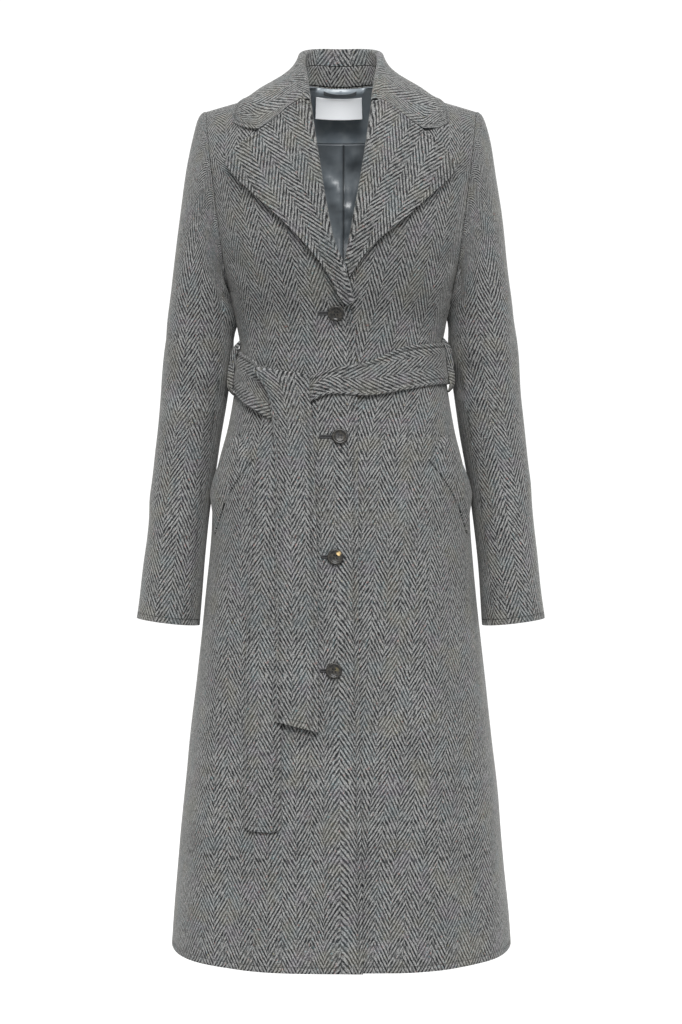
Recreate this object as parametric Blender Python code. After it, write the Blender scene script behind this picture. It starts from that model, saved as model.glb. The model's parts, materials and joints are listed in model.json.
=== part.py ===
"""Belted wool overcoat, knee length, filled out as worn with no wearer in it.

Metres, +Z up, front towards -Y. The wearer's right is at -X. The origin lies at the base of the neck, midway
between the neck ends of the shoulder seams. Every piece is a wall of cloth laid over one of four shared forms:
the body, the sleeves, the lapels and the collar. Pieces that are sewn together stop half a seam gap short of
the seam line, and a piece that lies on another is made from the lower one's points, moved out.
"""

import math

import bmesh
import bpy
from mathutils import Vector

# Cloth
WALL = 0.0025  # one layer of overcoating with its lining or canvas
DOUBLE_WALL = 0.0030  # two layers pressed flat: lapel, collar, belt, welt
LINING_WALL = 0.0010
SEAM_GAP = 0.0003
LIE = 0.0012  # air under a piece that lies on another

# Body form
HEM = -1.1255
HEM_RISE = 0.006  # the hem is higher at the side seams
HEM_CURVE_TOP = -0.95
YOKE = -0.130  # above this height the form rounds over to the shoulder seam
NOMINAL_TOP = 0.0  # height that the form's tables are read at on the shoulder seam
NECK_X = 0.062  # neck end of the shoulder seam
BACK_NECK_LEVEL = 0.655  # centre back of the neckline, as a share of the way over the shoulder
SHOULDER_AT_CENTRE = 0.01625
SHOULDER_SLOPE = 0.27
NECK_RISE = 0.0255
NECK_RISE_WIDTH = 0.078
NECK_ROUND = 0.020
FLUTE_TOP = -0.50
FLUTE_DEPTH = 0.0025

# Armhole: where the plane x = ARMHOLE_X + ARMHOLE_LEAN * z meets the body form
ARMHOLE_X = 0.182
ARMHOLE_LEAN = 0.128
ARMHOLE_TOP = -0.0318
ARMHOLE_BOTTOM = -0.2750

# Mesh
ARMHOLE_ROWS = 12
SKIRT_ROWS, SKIRT_TOP = 8, -0.50
WAIST_ROWS = 9
FRONT_COLUMNS = 8
BACK_COLUMNS = 20
NECK_COLUMN = 3  # column of the back, out from its middle, that ends at the neck end of the shoulder seam
CAP_ROWS, ARM_ROWS = 5, 9

FRONT, BACK = -1, 1  # the way each side faces along Y
RIGHT, LEFT = -1, 1  # the wearer's sides along X
QUARTER = math.pi / 2

# Overlap of the fronts
UNDERLAP = 0.0034  # how far the left front is pressed in under the right one
UNDERLAP_OUT = (0.100, 0.045)
UNDERLAP_HEIGHT = (-0.185, -0.235)


def table(columns, *rows):
    """Columns by name. The first one is the key, and rises down the rows."""
    return dict(zip(columns.split(), zip(*rows)))


BODY = table(
    "height half_width front_depth back_depth squareness",
    (-1.126, 0.2222, 0.178, 0.168, 2.70),
    (-0.967, 0.2090, 0.164, 0.159, 2.60),
    (-0.808, 0.1930, 0.149, 0.149, 2.45),
    (-0.650, 0.1757, 0.136, 0.139, 2.35),
    (-0.590, 0.1704, 0.131, 0.135, 2.30),
    (-0.530, 0.1670, 0.126, 0.130, 2.30),
    (-0.491, 0.1590, 0.121, 0.122, 2.30),
    (-0.452, 0.1495, 0.115, 0.112, 2.25),
    (-0.400, 0.1405, 0.108, 0.097, 2.20),
    (-0.345, 0.1340, 0.105, 0.088, 2.20),
    (-0.313, 0.1360, 0.111, 0.091, 2.20),
    (-0.275, 0.1468, 0.124, 0.101, 2.30),
    (-0.220, 0.1640, 0.131, 0.112, 2.45),
    (-0.150, 0.1770, 0.123, 0.117, 2.50),
    (-0.080, 0.1860, 0.113, 0.111, 2.45),
    (0.000, 0.1860, 0.100, 0.100, 2.30),
)

# Inner edge of each front, out from the centre: the lap below, the lapel's roll line, then the neck seam.
FRONT_EDGE = table(
    "level right left",
    (-0.992, -0.0269, -0.0300),
    (-0.600, -0.0222, -0.0280),
    (-0.320, -0.0212, -0.0260),
    (-0.230, -0.0185, -0.0240),
    (-0.195, -0.0172, -0.0230),
    (-0.170, -0.0113, -0.0170),
    (-0.145, -0.0048, 0.0000),
    (-0.119, 0.0024, 0.0105),
    (-0.093, 0.0142, 0.0152),
    (-0.048, 0.0232, 0.0232),
    (0.000, 0.0312, 0.0310),
    (0.200, 0.0382, 0.0386),
    (0.470, 0.0436, 0.0442),
    (0.620, 0.0462, 0.0465),
    (0.800, 0.0520, 0.0520),
    (1.000, NECK_X, NECK_X),
)

# Sleeve below the cap, on the arm's side of the body.
SLEEVE = table(
    "height centre_x centre_y half_width half_depth",
    (-0.702, 0.2243, -0.034, 0.0410, 0.0500),
    (-0.640, 0.2190, -0.025, 0.0392, 0.0510),
    (-0.570, 0.2130, -0.013, 0.0388, 0.0530),
    (-0.491, 0.2043, -0.001, 0.0412, 0.0555),
    (-0.412, 0.1942, 0.004, 0.0436, 0.0580),
    (-0.350, 0.1882, 0.004, 0.0458, 0.0600),
    (-0.300, 0.1850, 0.002, 0.0425, 0.0610),
)
CUFF = -0.702
SLEEVE_SQUARENESS = 2.15
SLEEVE_TOP = -0.300
CUFF_TILT = 0.12
CAP_REACH = 0.074
CAP_DROP = 0.95
CAP_GAP = 0.0010
SLEEVE_SEAM = math.radians(135)

# Lapels: each row runs from the roll line to the outer edge, both out from the centre.
LAPEL_RIGHT = table(
    "share roll_out roll_height edge_out edge_height",
    (0.00, -0.0150, -0.2930, -0.0075, -0.3010),
    (0.14, -0.0087, -0.2710, 0.0050, -0.2840),
    (0.27, -0.0025, -0.2490, 0.0137, -0.2650),
    (0.40, 0.0068, -0.2290, 0.0336, -0.2378),
    (0.56, 0.0140, -0.2030, 0.0650, -0.2030),
    (0.76, 0.0238, -0.1470, 0.1070, -0.1610),
    (0.90, 0.0328, -0.0870, 0.1303, -0.1362),
    (1.00, 0.0388, -0.0396, 0.1437, -0.1165),
)
LAPEL_LEFT = table(
    "share roll_out roll_height edge_out edge_height",
    (0.00, 0.0058, -0.2465, 0.0104, -0.2660),
    (0.20, 0.0105, -0.2227, 0.0283, -0.2394),
    (0.40, 0.0160, -0.1930, 0.0484, -0.2179),
    (0.60, 0.0222, -0.1580, 0.0803, -0.1912),
    (0.80, 0.0300, -0.1100, 0.1170, -0.1544),
    (0.92, 0.0350, -0.0740, 0.1348, -0.1352),
    (1.00, 0.0394, -0.0396, 0.1435, -0.1200),
)
# Gorge seam from the roll line to the notch, then the lapel's top edge or the collar's front edge.
GORGE = table(
    "share out height",
    (0.00, 0.0391, -0.0396),
    (0.15, 0.0487, -0.0388),
    (0.32, 0.0648, -0.0475),
    (0.55, 0.0856, -0.0645),
    (0.75, 0.1049, -0.0784),
)
NOTCH_SHARE = 0.75
LAPEL_TIP = table(
    "share out height",
    (0.75, 0.1049, -0.0800),
    (0.88, 0.1265, -0.0950),
    (1.00, 0.1437, -0.1165),
)
COLLAR_TIP = table(
    "share out height",
    (0.75, 0.1049, -0.0768),
    (0.88, 0.1240, -0.0705),
    (1.00, 0.1395, -0.0585),
)
ROLL_RADIUS = 0.0040
LAPEL_REST = 0.0030  # height of the middle of the lapel over the front at its outer edge
TURN_COLUMNS, LAPEL_COLUMNS, LAPEL_ROWS = 4, 7, 13
TURN_SHARE = TURN_COLUMNS / (TURN_COLUMNS + LAPEL_COLUMNS)

# Collar, from the centre back (0) to the gorge (1). The fall is hollow where it leaves the roll.
COLLAR = table(
    "station fold_x fold_y fold_z edge_x edge_y edge_z hollow bulge",
    (0.00, 0.0000, 0.0600, 0.0660, 0.0000, 0.0930, -0.0220, 0.10, 0.03),
    (0.20, 0.0290, 0.0530, 0.0645, 0.0520, 0.0890, -0.0235, 0.11, 0.04),
    (0.40, 0.0450, 0.0290, 0.0545, 0.1000, 0.0570, -0.0210, 0.11, 0.05),
    (0.56, 0.0475, 0.0020, 0.0385, 0.1230, 0.0150, -0.0150, 0.12, 0.07),
    (0.72, 0.0453, -0.0290, 0.0165, 0.1290, -0.0190, -0.0220, 0.09, 0.05),
    (0.86, 0.0422, -0.0555, -0.0060, 0.1370, -0.0400, -0.0370, 0.05, 0.02),
    (1.00, 0.0388, -0.0832, -0.0388, 0.1395, -0.0600, -0.0585, 0.00, 0.00),
)
SHOULDER_STATION = 0.56
STAND_SHARE = 0.55
STAND_GAP = 0.0005
STAND_SEAM = 0.0008  # more room where the seam with the fall twists round the neck
STAND_TIP = 0.0022
NECK_INSET = 0.0014  # the collar lies just inside the edge of the fronts
REST_SOFTNESS = 0.003
COLLAR_REST = 0.0034  # least height of the middle of the fall over the body
GORGE_LEVEL = 0.430
GORGE_SEAM = 0.0011
GORGE_TILT = 0.62  # how much the fold leans upwards at the gorge, to lie square to the front
GORGE_START = 0.03  # share of the gorge taken up by the roll
COLLAR_RADIUS = 0.0038
RISE_COLUMNS, FOLD_COLUMNS, FALL_COLUMNS = 1, 4, LAPEL_COLUMNS
COLLAR_ROWS, STAND_ROWS = 24, 20  # round the neck, at the same stations
GORGE_BLEND = 0.70  # station from which the fall takes on the line of the gorge
STAND_END = STAND_ROWS / COLLAR_ROWS  # station at which the stand tapers out
STAND_COLUMNS = 2

# Belt, at turns in degrees from the centre front, positive on the wearer's left.
BELT_RIGHT = table(
    "turn top bottom lift",
    (-88.5, -0.3445, -0.3945, 0.0043),
    (-69.0, -0.3545, -0.4095, 0.0043),
    (-58.0, -0.3605, -0.4190, 0.0062),
    (-47.8, -0.3694, -0.4282, 0.0084),
    (-35.5, -0.3846, -0.4420, 0.0090),
    (-27.0, -0.3930, -0.4480, 0.0090),
)
BELT_LEFT = table(
    "turn top bottom lift",
    (-5.2, -0.3795, -0.4110, 0.0048),
    (1.6, -0.3757, -0.4123, 0.0046),
    (11.9, -0.3706, -0.4136, 0.0043),
    (33.2, -0.3505, -0.4051, 0.0043),
    (57.5, -0.3435, -0.3968, 0.0043),
    (88.5, -0.3365, -0.3920, 0.0043),
)
BELT_BACK = table(
    "turn top bottom lift",
    (89.2, -0.3365, -0.3920, 0.0050),
    (135.0, -0.3370, -0.3880, 0.0050),
    (180.0, -0.3370, -0.3880, 0.0050),
    (225.0, -0.3390, -0.3900, 0.0050),
    (270.8, -0.3440, -0.3940, 0.0050),
)
BELT_KNOT = table(
    "turn top bottom lift",
    (-24.0, -0.3990, -0.4340, 0.0088),
    (-13.3, -0.3910, -0.4285, 0.0070),
    (-5.7, -0.3800, -0.4110, 0.0056),
)
# Tails of the belt, from the lower end up: the two edges and the height of the outer face over the body.
TAIL_UPPER = table(
    "share left_x left_z right_x right_z lift",
    (0.00, -0.0804, -0.8202, -0.0280, -0.8327, 0.0092),
    (0.28, -0.0792, -0.7000, -0.0281, -0.7060, 0.0092),
    (0.50, -0.0795, -0.6000, -0.0297, -0.6030, 0.0092),
    (0.72, -0.0800, -0.5000, -0.0327, -0.5000, 0.0094),
    (0.84, -0.0820, -0.4401, -0.0353, -0.4401, 0.0140),
    (0.91, -0.0860, -0.4110, -0.0370, -0.4150, 0.0166),
    (1.00, -0.1020, -0.3800, -0.0370, -0.3930, 0.0182),
)
TAIL_LOWER = table(
    "share left_x left_z right_x right_z lift",
    (0.00, -0.1198, -0.9560, -0.0738, -0.9560, 0.0042),
    (0.32, -0.1195, -0.7940, -0.0735, -0.7940, 0.0042),
    (0.55, -0.1172, -0.6700, -0.0710, -0.6700, 0.0042),
    (0.72, -0.1115, -0.5910, -0.0655, -0.5910, 0.0042),
    (0.90, -0.1060, -0.4890, -0.0585, -0.4890, 0.0042),
    (1.00, -0.0975, -0.4300, -0.0520, -0.4300, 0.0042),
)
TAIL_TURN = 0.0022  # radius of the roll at the top of the upper tail
TAIL_TUCK = 0.030
BAND_ROWS = 2

# Belt loops at the side seams
LOOP_TURN, LOOP_WIDTH = 77.0, 0.008
LOOP = table(
    "height lift",
    (-0.4190, 0.0022),
    (-0.4130, 0.0045),
    (-0.4060, 0.0095),
    (-0.3700, 0.0115),
    (-0.3340, 0.0090),
    (-0.3270, 0.0045),
    (-0.3210, 0.0022),
)
LOOP_WALL = 0.0016

# Pocket welts: corners as turn and height, sewn edge first.
POCKET = table(
    "along sewn_turn sewn_height open_turn open_height",
    (0.0, 40.8, -0.4926, 57.0, -0.4600),
    (0.5, 56.5, -0.5390, 70.0, -0.4990),
    (1.0, 70.0, -0.5880, 80.5, -0.5450),
)
POCKET_LIFT = (0.0044, 0.0058)

# Buttons
BUTTONS = table(
    "number x height",
    (1, -0.0063, -0.3096),
    (2, -0.0013, -0.4655),
    (3, -0.0069, -0.6163),
    (4, -0.0087, -0.7570),
)
BUTTON_RADIUS = 0.0101
BUTTON_SIDES = 16
# Half of a button in section, from the middle of its face round the rim and back to its sewn shank.
BUTTON_SECTION = table(
    "radius_share height",
    (0.00, 0.0036),
    (0.62, 0.0036),
    (0.76, 0.0046),
    (0.92, 0.0046),
    (1.00, 0.0036),
    (0.94, 0.0022),
    (0.26, 0.0020),
    (0.24, 0.0004),
    (0.00, 0.0004),
)

# Lining, hanger loop and label, inside the back of the neck
LINING_ROW = SKIRT_ROWS + WAIST_ROWS - 2  # row of the back at which the lining starts
LINING_AIR = 0.0010
LABEL_AIR, HANGER_AIR = 0.0025, 0.0012
LABEL_X, LABEL_WIDTH = -0.0030, 0.068
LABEL_TOP, LABEL_BOTTOM = 0.0030, -0.0245
LABEL_WALL = 0.0006
HANGER_X, HANGER_HALF_LENGTH, HANGER_HEIGHT = -0.0013, 0.0245, 0.0045
HANGER_TOP = 0.0105
HANGER_SAG = 0.0025
HANGER_WALL = 0.0010

FINISHES = {
    "wool": ((0.19, 0.19, 0.19), 0.95),
    "lining": ((0.07, 0.08, 0.09), 0.35),
    "label": ((0.82, 0.83, 0.85), 0.70),
    "horn": ((0.035, 0.025, 0.02), 0.30),
}


def clear_scene():
    for obj in list(bpy.data.objects):
        bpy.data.objects.remove(obj, do_unlink=True)


def read(rows, column, at):
    """The column's value at one key, on a smooth curve through the rows, held level past either end."""
    keys, values = next(iter(rows.values())), rows[column]
    last = len(keys) - 1
    at = min(max(at, keys[0]), keys[last])
    low = max(i for i in range(last) if keys[i] <= at)
    step = keys[low + 1] - keys[low]

    def slope(i):
        before, after = max(i - 1, 0), min(i + 1, last)
        return (values[after] - values[before]) / (keys[after] - keys[before])

    t = (at - keys[low]) / step
    return (
        values[low] * (1 + 2 * t) * (1 - t) ** 2
        + values[low + 1] * t * t * (3 - 2 * t)
        + step * slope(low) * t * (1 - t) ** 2
        + step * slope(low + 1) * t * t * (t - 1)
    )


def ease(start, end, at):
    """0 at start, 1 at end and beyond, with level ends. Start may be above end."""
    t = min(max((at - start) / (end - start), 0.0), 1.0)
    return t * t * (3 - 2 * t)


def signed_power(value, power):
    return math.copysign(abs(value) ** power, value)


# --- Body form ---------------------------------------------------------------------------------------------


def shoulder_height(x):
    """Height of the shoulder seam's line, straight to the arm and rising to the neck."""
    rise = max(1 - (x / NECK_RISE_WIDTH) ** 2, 0.0)
    return SHOULDER_AT_CENTRE - SHOULDER_SLOPE * math.hypot(x, NECK_ROUND) + NECK_RISE * rise * rise


def nominal_height(level):
    """Height that the body tables are read at. A level is metres below the yoke while negative, and above it
    the share of the quarter turn that takes the cloth over the shoulder."""
    return YOKE + (level if level <= 0 else (NOMINAL_TOP - YOKE) * math.sin(level * QUARTER))


def flute(angle, height):
    """Soft standing folds of the skirt, which deepen towards the hem."""
    fall = ease(FLUTE_TOP, HEM, height)
    wave = math.cos(5 * angle + 0.6) + 0.6 * math.cos(8 * angle - 1.1)
    return FLUTE_DEPTH * fall * wave * math.sin(angle) ** 2


def body_point(side, angle, level):
    """A point of the body form. The angle runs from the centre of that side to the side seam, a quarter turn
    away, with its sign towards the wearer's left."""
    height = nominal_height(level)
    over = max(level, 0.0) * QUARTER
    power = 2 / read(BODY, "squareness", height)
    fold = flute(abs(angle), height)
    width = read(BODY, "half_width", height) + fold * abs(math.cos(angle))
    depth = read(BODY, "front_depth" if side == FRONT else "back_depth", height) + fold
    x = width * signed_power(math.sin(angle), power)
    y = side * depth * signed_power(math.cos(angle), power) * math.cos(over)
    if level > 0:
        height = YOKE + (shoulder_height(x) - YOKE) * math.sin(over)
    return Vector((x, y, height))


def angle_at(x, level):
    """Angle at which the body form is x from the centre."""
    height = nominal_height(level)
    share = min(abs(x) / read(BODY, "half_width", height), 1.0)
    return math.copysign(math.asin(share ** (read(BODY, "squareness", height) / 2)), x)


def level_at(x, height):
    if height <= YOKE:
        return height - YOKE
    return math.asin(min((height - YOKE) / (shoulder_height(x) - YOKE), 1.0)) / QUARTER


def body_frame(side, angle, level):
    """Point and outward direction of the body form."""
    reach = 0.004
    across = body_point(side, angle + reach, level) - body_point(side, angle - reach, level)
    up = body_point(side, angle, level + reach) - body_point(side, angle, level - reach)
    return body_point(side, angle, level), (across.cross(up) * -side).normalized()


def ring_frame(turn, height):
    """Point and outward direction at a turn in degrees round the body, from the centre front."""
    turn = (turn + 180) % 360 - 180
    if abs(turn) <= 90:
        return body_frame(FRONT, math.radians(turn), height - YOKE)
    return body_frame(BACK, math.copysign(math.radians(180 - abs(turn)), turn), height - YOKE)


def hem_curve(angle, level):
    """A level of the body with the rise of the hem towards the side seams."""
    return level + HEM_RISE * math.sin(angle) ** 2 * ease(HEM_CURVE_TOP, HEM, YOKE + level)


def shape_over(x, y):
    """Side, angle and level of the body form straight above or below a point near the shoulders."""
    side = FRONT if y < 0 else BACK
    level = 0.7
    for _ in range(12):
        depth = read(BODY, "front_depth" if side == FRONT else "back_depth", nominal_height(level))
        angle = angle_at(x, level)
        reach = depth * math.cos(angle) ** (2 / read(BODY, "squareness", nominal_height(level)))
        level = math.acos(min(abs(y) / max(reach, 1e-4), 1.0)) / QUARTER
    return side, angle, level


def rest_on_body(point, lift):
    """Raises a point to lie at least that high over the body form, with a soft start."""
    surface, normal = body_frame(*shape_over(point.x, point.y))
    over = (point - surface).dot(normal) - lift
    return point + normal * ((over + math.hypot(over, REST_SOFTNESS)) / 2 - over)


def armhole_height(share):
    """Heights down the armhole, close together at its top and bottom, where it is round."""
    middle, half = (ARMHOLE_TOP + ARMHOLE_BOTTOM) / 2, (ARMHOLE_TOP - ARMHOLE_BOTTOM) / 2
    return middle + half * math.cos(math.pi * share)


def armhole_x(height):
    return ARMHOLE_X + ARMHOLE_LEAN * height


def armhole_level(height):
    return level_at(armhole_x(height), height)


def row_levels():
    """Levels of the rows of a body panel, from the hem to the shoulder seam, with the armhole's x or None."""
    rows = [(HEM + (SKIRT_TOP - HEM) * i / SKIRT_ROWS - YOKE, None) for i in range(SKIRT_ROWS)]
    rise = (ARMHOLE_BOTTOM - SKIRT_TOP) / WAIST_ROWS
    rows += [(SKIRT_TOP + rise * i - YOKE, None) for i in range(WAIST_ROWS)]
    for i in range(ARMHOLE_ROWS + 1):
        height = armhole_height(1 - i / ARMHOLE_ROWS)
        rows.append((armhole_level(height), armhole_x(height)))
    return rows


PANEL_ROWS = row_levels()


def outer_angle(row, level):
    """Angle of the side seam, or of the armhole above it."""
    return QUARTER if PANEL_ROWS[row][1] is None else angle_at(PANEL_ROWS[row][1], level)


def back_neck_level(x):
    """Level of the back neckline, or of the shoulder seam beyond it."""
    return BACK_NECK_LEVEL + (1 - BACK_NECK_LEVEL) * min(abs(x) / NECK_X, 1.0) ** 2


# --- Building ----------------------------------------------------------------------------------------------


def finish(name):
    material = bpy.data.materials.new(name)
    material.use_nodes = True
    shader = material.node_tree.nodes["Principled BSDF"]
    colour, roughness = FINISHES[name.split("_on_")[0]]
    shader.inputs["Base Color"].default_value = (*colour, 1.0)
    shader.inputs["Roughness"].default_value = roughness
    shader.inputs["Metallic"].default_value = 0.0
    return material


def add_object(name, bm, kind):
    mesh = bpy.data.meshes.new(name)
    bm.to_mesh(mesh)
    bm.free()
    mesh.shade_smooth()
    mesh.set_sharp_from_angle(angle=math.radians(50))
    mesh.materials.append(finish(f"{kind}_on_{name}"))
    bpy.context.scene.collection.objects.link(bpy.data.objects.new(name, mesh))


def faced(surface):
    """Gives a surface of points its outward directions as well."""
    reach = 0.003

    def frame(across, up):
        left, right = max(across - reach, 0.0), min(across + reach, 1.0)
        low, high = max(up - reach, 0.0), min(up + reach, 1.0)
        over = surface(right, up) - surface(left, up)
        along = surface(across, high) - surface(across, low)
        return surface(across, up), over.cross(along).normalized()

    return frame


def seam_allowance(frame, across, up):
    """Moves the points of an edge back by half a seam gap, along the cloth."""
    reach = 0.01
    shift = Vector()
    here = frame(across, up)[0]
    if across in (0.0, 1.0):
        shift += (frame(abs(across - reach), up)[0] - here).normalized()
    if up in (0.0, 1.0):
        shift += (frame(across, abs(up - reach))[0] - here).normalized()
    return shift * SEAM_GAP / 2


def cloth(name, kind, columns, rows, frame, outer=0.0, inner=-WALL):
    """A piece of cloth: a flat grid with a wall, laid over frame(across, up) -> point, outward direction."""
    bm = bmesh.new()
    bmesh.ops.create_grid(bm, x_segments=columns, y_segments=rows, size=0.5)
    wall = bmesh.ops.extrude_face_region(bm, geom=bm.faces[:], use_keep_orig=True)
    inside = {item for item in wall["geom"] if isinstance(item, bmesh.types.BMVert)}
    for vert in bm.verts:
        across = round((vert.co.x + 0.5) * columns) / columns
        up = round((vert.co.y + 0.5) * rows) / rows
        point, normal = frame(across, up)
        depth = inner if vert in inside else outer
        vert.co = point + seam_allowance(frame, across, up) + normal * depth
    bmesh.ops.recalc_face_normals(bm, faces=bm.faces[:])
    if bm.calc_volume(signed=True) < 0:
        bmesh.ops.reverse_faces(bm, faces=bm.faces[:])
    add_object(name, bm, kind)


# --- Fronts and back ---------------------------------------------------------------------------------------


def panel_row(up):
    """Row and level at a share of the way up a panel, between rows too."""
    place = up * (len(PANEL_ROWS) - 1)
    row = min(int(place), len(PANEL_ROWS) - 2)
    part = place - row
    level = PANEL_ROWS[row][0] * (1 - part) + PANEL_ROWS[row + 1][0] * part
    return row, part, level


def side_angle(up):
    row, part, level = panel_row(up)
    return outer_angle(row, level) * (1 - part) + outer_angle(row + 1, level) * part


def underlap(wearer, out, height):
    """How far the left front is pressed in where the right one lies on it."""
    if wearer == RIGHT:
        return 0.0
    return UNDERLAP * ease(*UNDERLAP_OUT, out) * ease(*UNDERLAP_HEIGHT, height)


def front_frame(wearer, angle, level):
    point, normal = body_frame(FRONT, wearer * angle, hem_curve(angle, level))
    return point - normal * underlap(wearer, wearer * point.x, point.z), normal


def front_at(wearer, out, height):
    """Point and outward direction of a front, out from the centre and at a height."""
    level = level_at(out, height)
    return front_frame(wearer, angle_at(out, level), level)


def make_front(wearer):
    side = "right" if wearer == RIGHT else "left"

    def frame(across, up):
        level = panel_row(up)[2]
        inner = angle_at(read(FRONT_EDGE, side, level), level)
        return front_frame(wearer, inner + (side_angle(up) - inner) * across, level)

    cloth(f"front_{side}", "wool", FRONT_COLUMNS, len(PANEL_ROWS) - 1, frame)


def back_spread(share):
    """Spaces the back's columns so that one of them ends at the neck end of the shoulder seam."""
    neck = angle_at(NECK_X, 1.0) / outer_angle(-1, 1.0)
    return signed_power(share, math.log(neck) / math.log(2 * NECK_COLUMN / BACK_COLUMNS))


def back_frame(across, up):
    level = panel_row(up)[2]
    angle = side_angle(up) * back_spread(2 * across - 1)
    if level > 0:
        level *= back_neck_level(body_point(BACK, angle, level).x)
    return body_frame(BACK, angle, hem_curve(angle, level))


def make_back():
    cloth("back", "wool", BACK_COLUMNS, len(PANEL_ROWS) - 1, back_frame)


# --- Sleeves -----------------------------------------------------------------------------------------------


def armhole_point(angle):
    """The armhole on the wearer's left: the angle is 0 at the shoulder, positive down the front."""
    height = armhole_height(abs(angle) / math.pi)
    level = armhole_level(height)
    side = FRONT if angle >= 0 else BACK
    return body_point(side, angle_at(armhole_x(height), level), level)


def sleeve_ring(angle, height):
    """A point of the sleeve below its cap."""
    power = 2 / SLEEVE_SQUARENESS
    out = read(SLEEVE, "half_width", height) * signed_power(math.cos(angle), power)
    y = read(SLEEVE, "centre_y", height)
    y -= read(SLEEVE, "half_depth", height) * signed_power(math.sin(angle), power)
    tilt = CUFF_TILT * ease(SLEEVE_TOP, CUFF, height)
    return Vector((read(SLEEVE, "centre_x", height) + out, y, height + tilt * out))


def cap_point(angle, share):
    """The cap: each line leaves the armhole outwards and comes down into the sleeve."""
    start, end = armhole_point(angle), sleeve_ring(angle, SLEEVE_TOP)
    start = start + Vector((CAP_GAP, 0, 0))
    crown = (1 + math.cos(angle)) / 2
    leave = Vector((CAP_REACH * (0.16 + 0.84 * crown), 0, -0.012))
    below = sleeve_ring(angle, SLEEVE_TOP - 0.01) - end
    arrive = below * (CAP_DROP * (end.z - start.z) / below.z)
    t = share
    return (
        start * (1 + 2 * t) * (1 - t) ** 2
        + end * t * t * (3 - 2 * t)
        + leave * t * (1 - t) ** 2
        + arrive * t * t * (t - 1)
    )


def sleeve_point(angle, along):
    """Along runs from 0 at the armhole to 1 at the end of the cap and 2 at the cuff."""
    if along <= 1:
        return cap_point(angle, along)
    return sleeve_ring(angle, SLEEVE_TOP + (CUFF - SLEEVE_TOP) * (along - 1))


def make_sleeve(wearer, piece, start, end, columns):
    rows = CAP_ROWS + ARM_ROWS

    def surface(across, up):
        place = up * rows
        along = place / CAP_ROWS if place <= CAP_ROWS else 1 + (place - CAP_ROWS) / ARM_ROWS
        point = sleeve_point(start + (end - start) * across, along)
        return Vector((point.x * wearer, point.y, point.z))

    name = f"sleeve_{piece}_{'right' if wearer == RIGHT else 'left'}"
    if wearer == LEFT:
        cloth(name, "wool", columns, rows, faced(surface), 0.0, -WALL)
    else:
        cloth(name, "wool", columns, rows, faced(surface), 0.0, WALL)


# --- Lapels ------------------------------------------------------------------------------------------------


def lapel_lift(share):
    """Height of the middle of the lapel's outer leaf over the front, from the roll to the outer edge."""
    roll = 2 * ROLL_RADIUS - WALL / 2
    return roll + (LAPEL_REST - roll) * ease(0.05, 0.85, share)


def section_turn(share):
    """Half a turn of the roll: how far along the cloth and how far out of it, in radii."""
    turn = math.pi * share - QUARTER
    return 1 - math.cos(turn), 1 + math.sin(turn)


def make_lapel(wearer):
    side = "right" if wearer == RIGHT else "left"
    rows = LAPEL_RIGHT if wearer == RIGHT else LAPEL_LEFT

    def surface(across, up):
        roll = Vector((read(rows, "roll_out", up), read(rows, "roll_height", up)))
        edge = Vector((read(rows, "edge_out", up), read(rows, "edge_height", up)))
        width = (edge - roll).length
        radius = min(ROLL_RADIUS, width * 0.42)
        if across <= TURN_SHARE:
            along, out = section_turn(across / TURN_SHARE)
            distance, lift = radius * along, radius * out
        else:
            part = (across - TURN_SHARE) / (1 - TURN_SHARE)
            distance = radius + (width - radius) * part
            lift = 2 * radius
        share = distance / width
        if across > TURN_SHARE:
            lift = min(lift, lapel_lift(share) + WALL / 2)
        place = roll + (edge - roll) * share
        top = ease(0.55, 1.0, up) * ease(0.0, 0.10, share)
        ends = GORGE if share < NOTCH_SHARE else LAPEL_TIP
        line = Vector((read(ends, "out", share), read(ends, "height", share)))
        chord_start = Vector((read(rows, "roll_out", 1), read(rows, "roll_height", 1)))
        chord_end = Vector((read(rows, "edge_out", 1), read(rows, "edge_height", 1)))
        line += (chord_end - Vector((LAPEL_TIP["out"][-1], LAPEL_TIP["height"][-1]))) * ease(0.75, 1.0, share)
        place += (line - chord_start - (chord_end - chord_start) * share) * top
        point, normal = front_at(wearer, place.x, place.y)
        return point + normal * (lift - WALL / 2)

    half = DOUBLE_WALL / 2 * wearer
    cloth(f"lapel_{side}", "wool", TURN_COLUMNS + LAPEL_COLUMNS, LAPEL_ROWS, faced(surface), half, -half)


# --- Collar ------------------------------------------------------------------------------------------------


def neck_seam(station):
    """The neck seam of the wearer's left half, from the centre back over the shoulder to the gorge."""
    if station <= SHOULDER_STATION:
        x = NECK_X * math.sin(QUARTER * station / SHOULDER_STATION)
        level = back_neck_level(x)
        return body_point(BACK, angle_at(x, level), level)
    level = 1 - (1 - GORGE_LEVEL) * (station - SHOULDER_STATION) / (1 - SHOULDER_STATION)
    inset = ease(SHOULDER_STATION, 1.0, station)
    x = read(FRONT_EDGE, "right", level) - NECK_INSET * inset
    point, normal = body_frame(FRONT, angle_at(x, level), level)
    return point - normal * WALL / 2 * inset


def collar_row(station, name):
    return Vector([read(COLLAR, f"{name}_{axis}", station) for axis in "xyz"])


def collar_axes(station):
    """Fold point, direction in which the stand rises, and direction outwards from the neck."""
    base, fold = neck_seam(station), collar_row(station, "fold")
    rise = (fold - base).normalized()
    radial = Vector((base.x, base.y, 0.0)).normalized()
    radial.z = GORGE_TILT * ease(SHOULDER_STATION, 1.0, station)
    out = (radial - rise * radial.dot(rise)).normalized()
    return base, fold, rise, out


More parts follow.
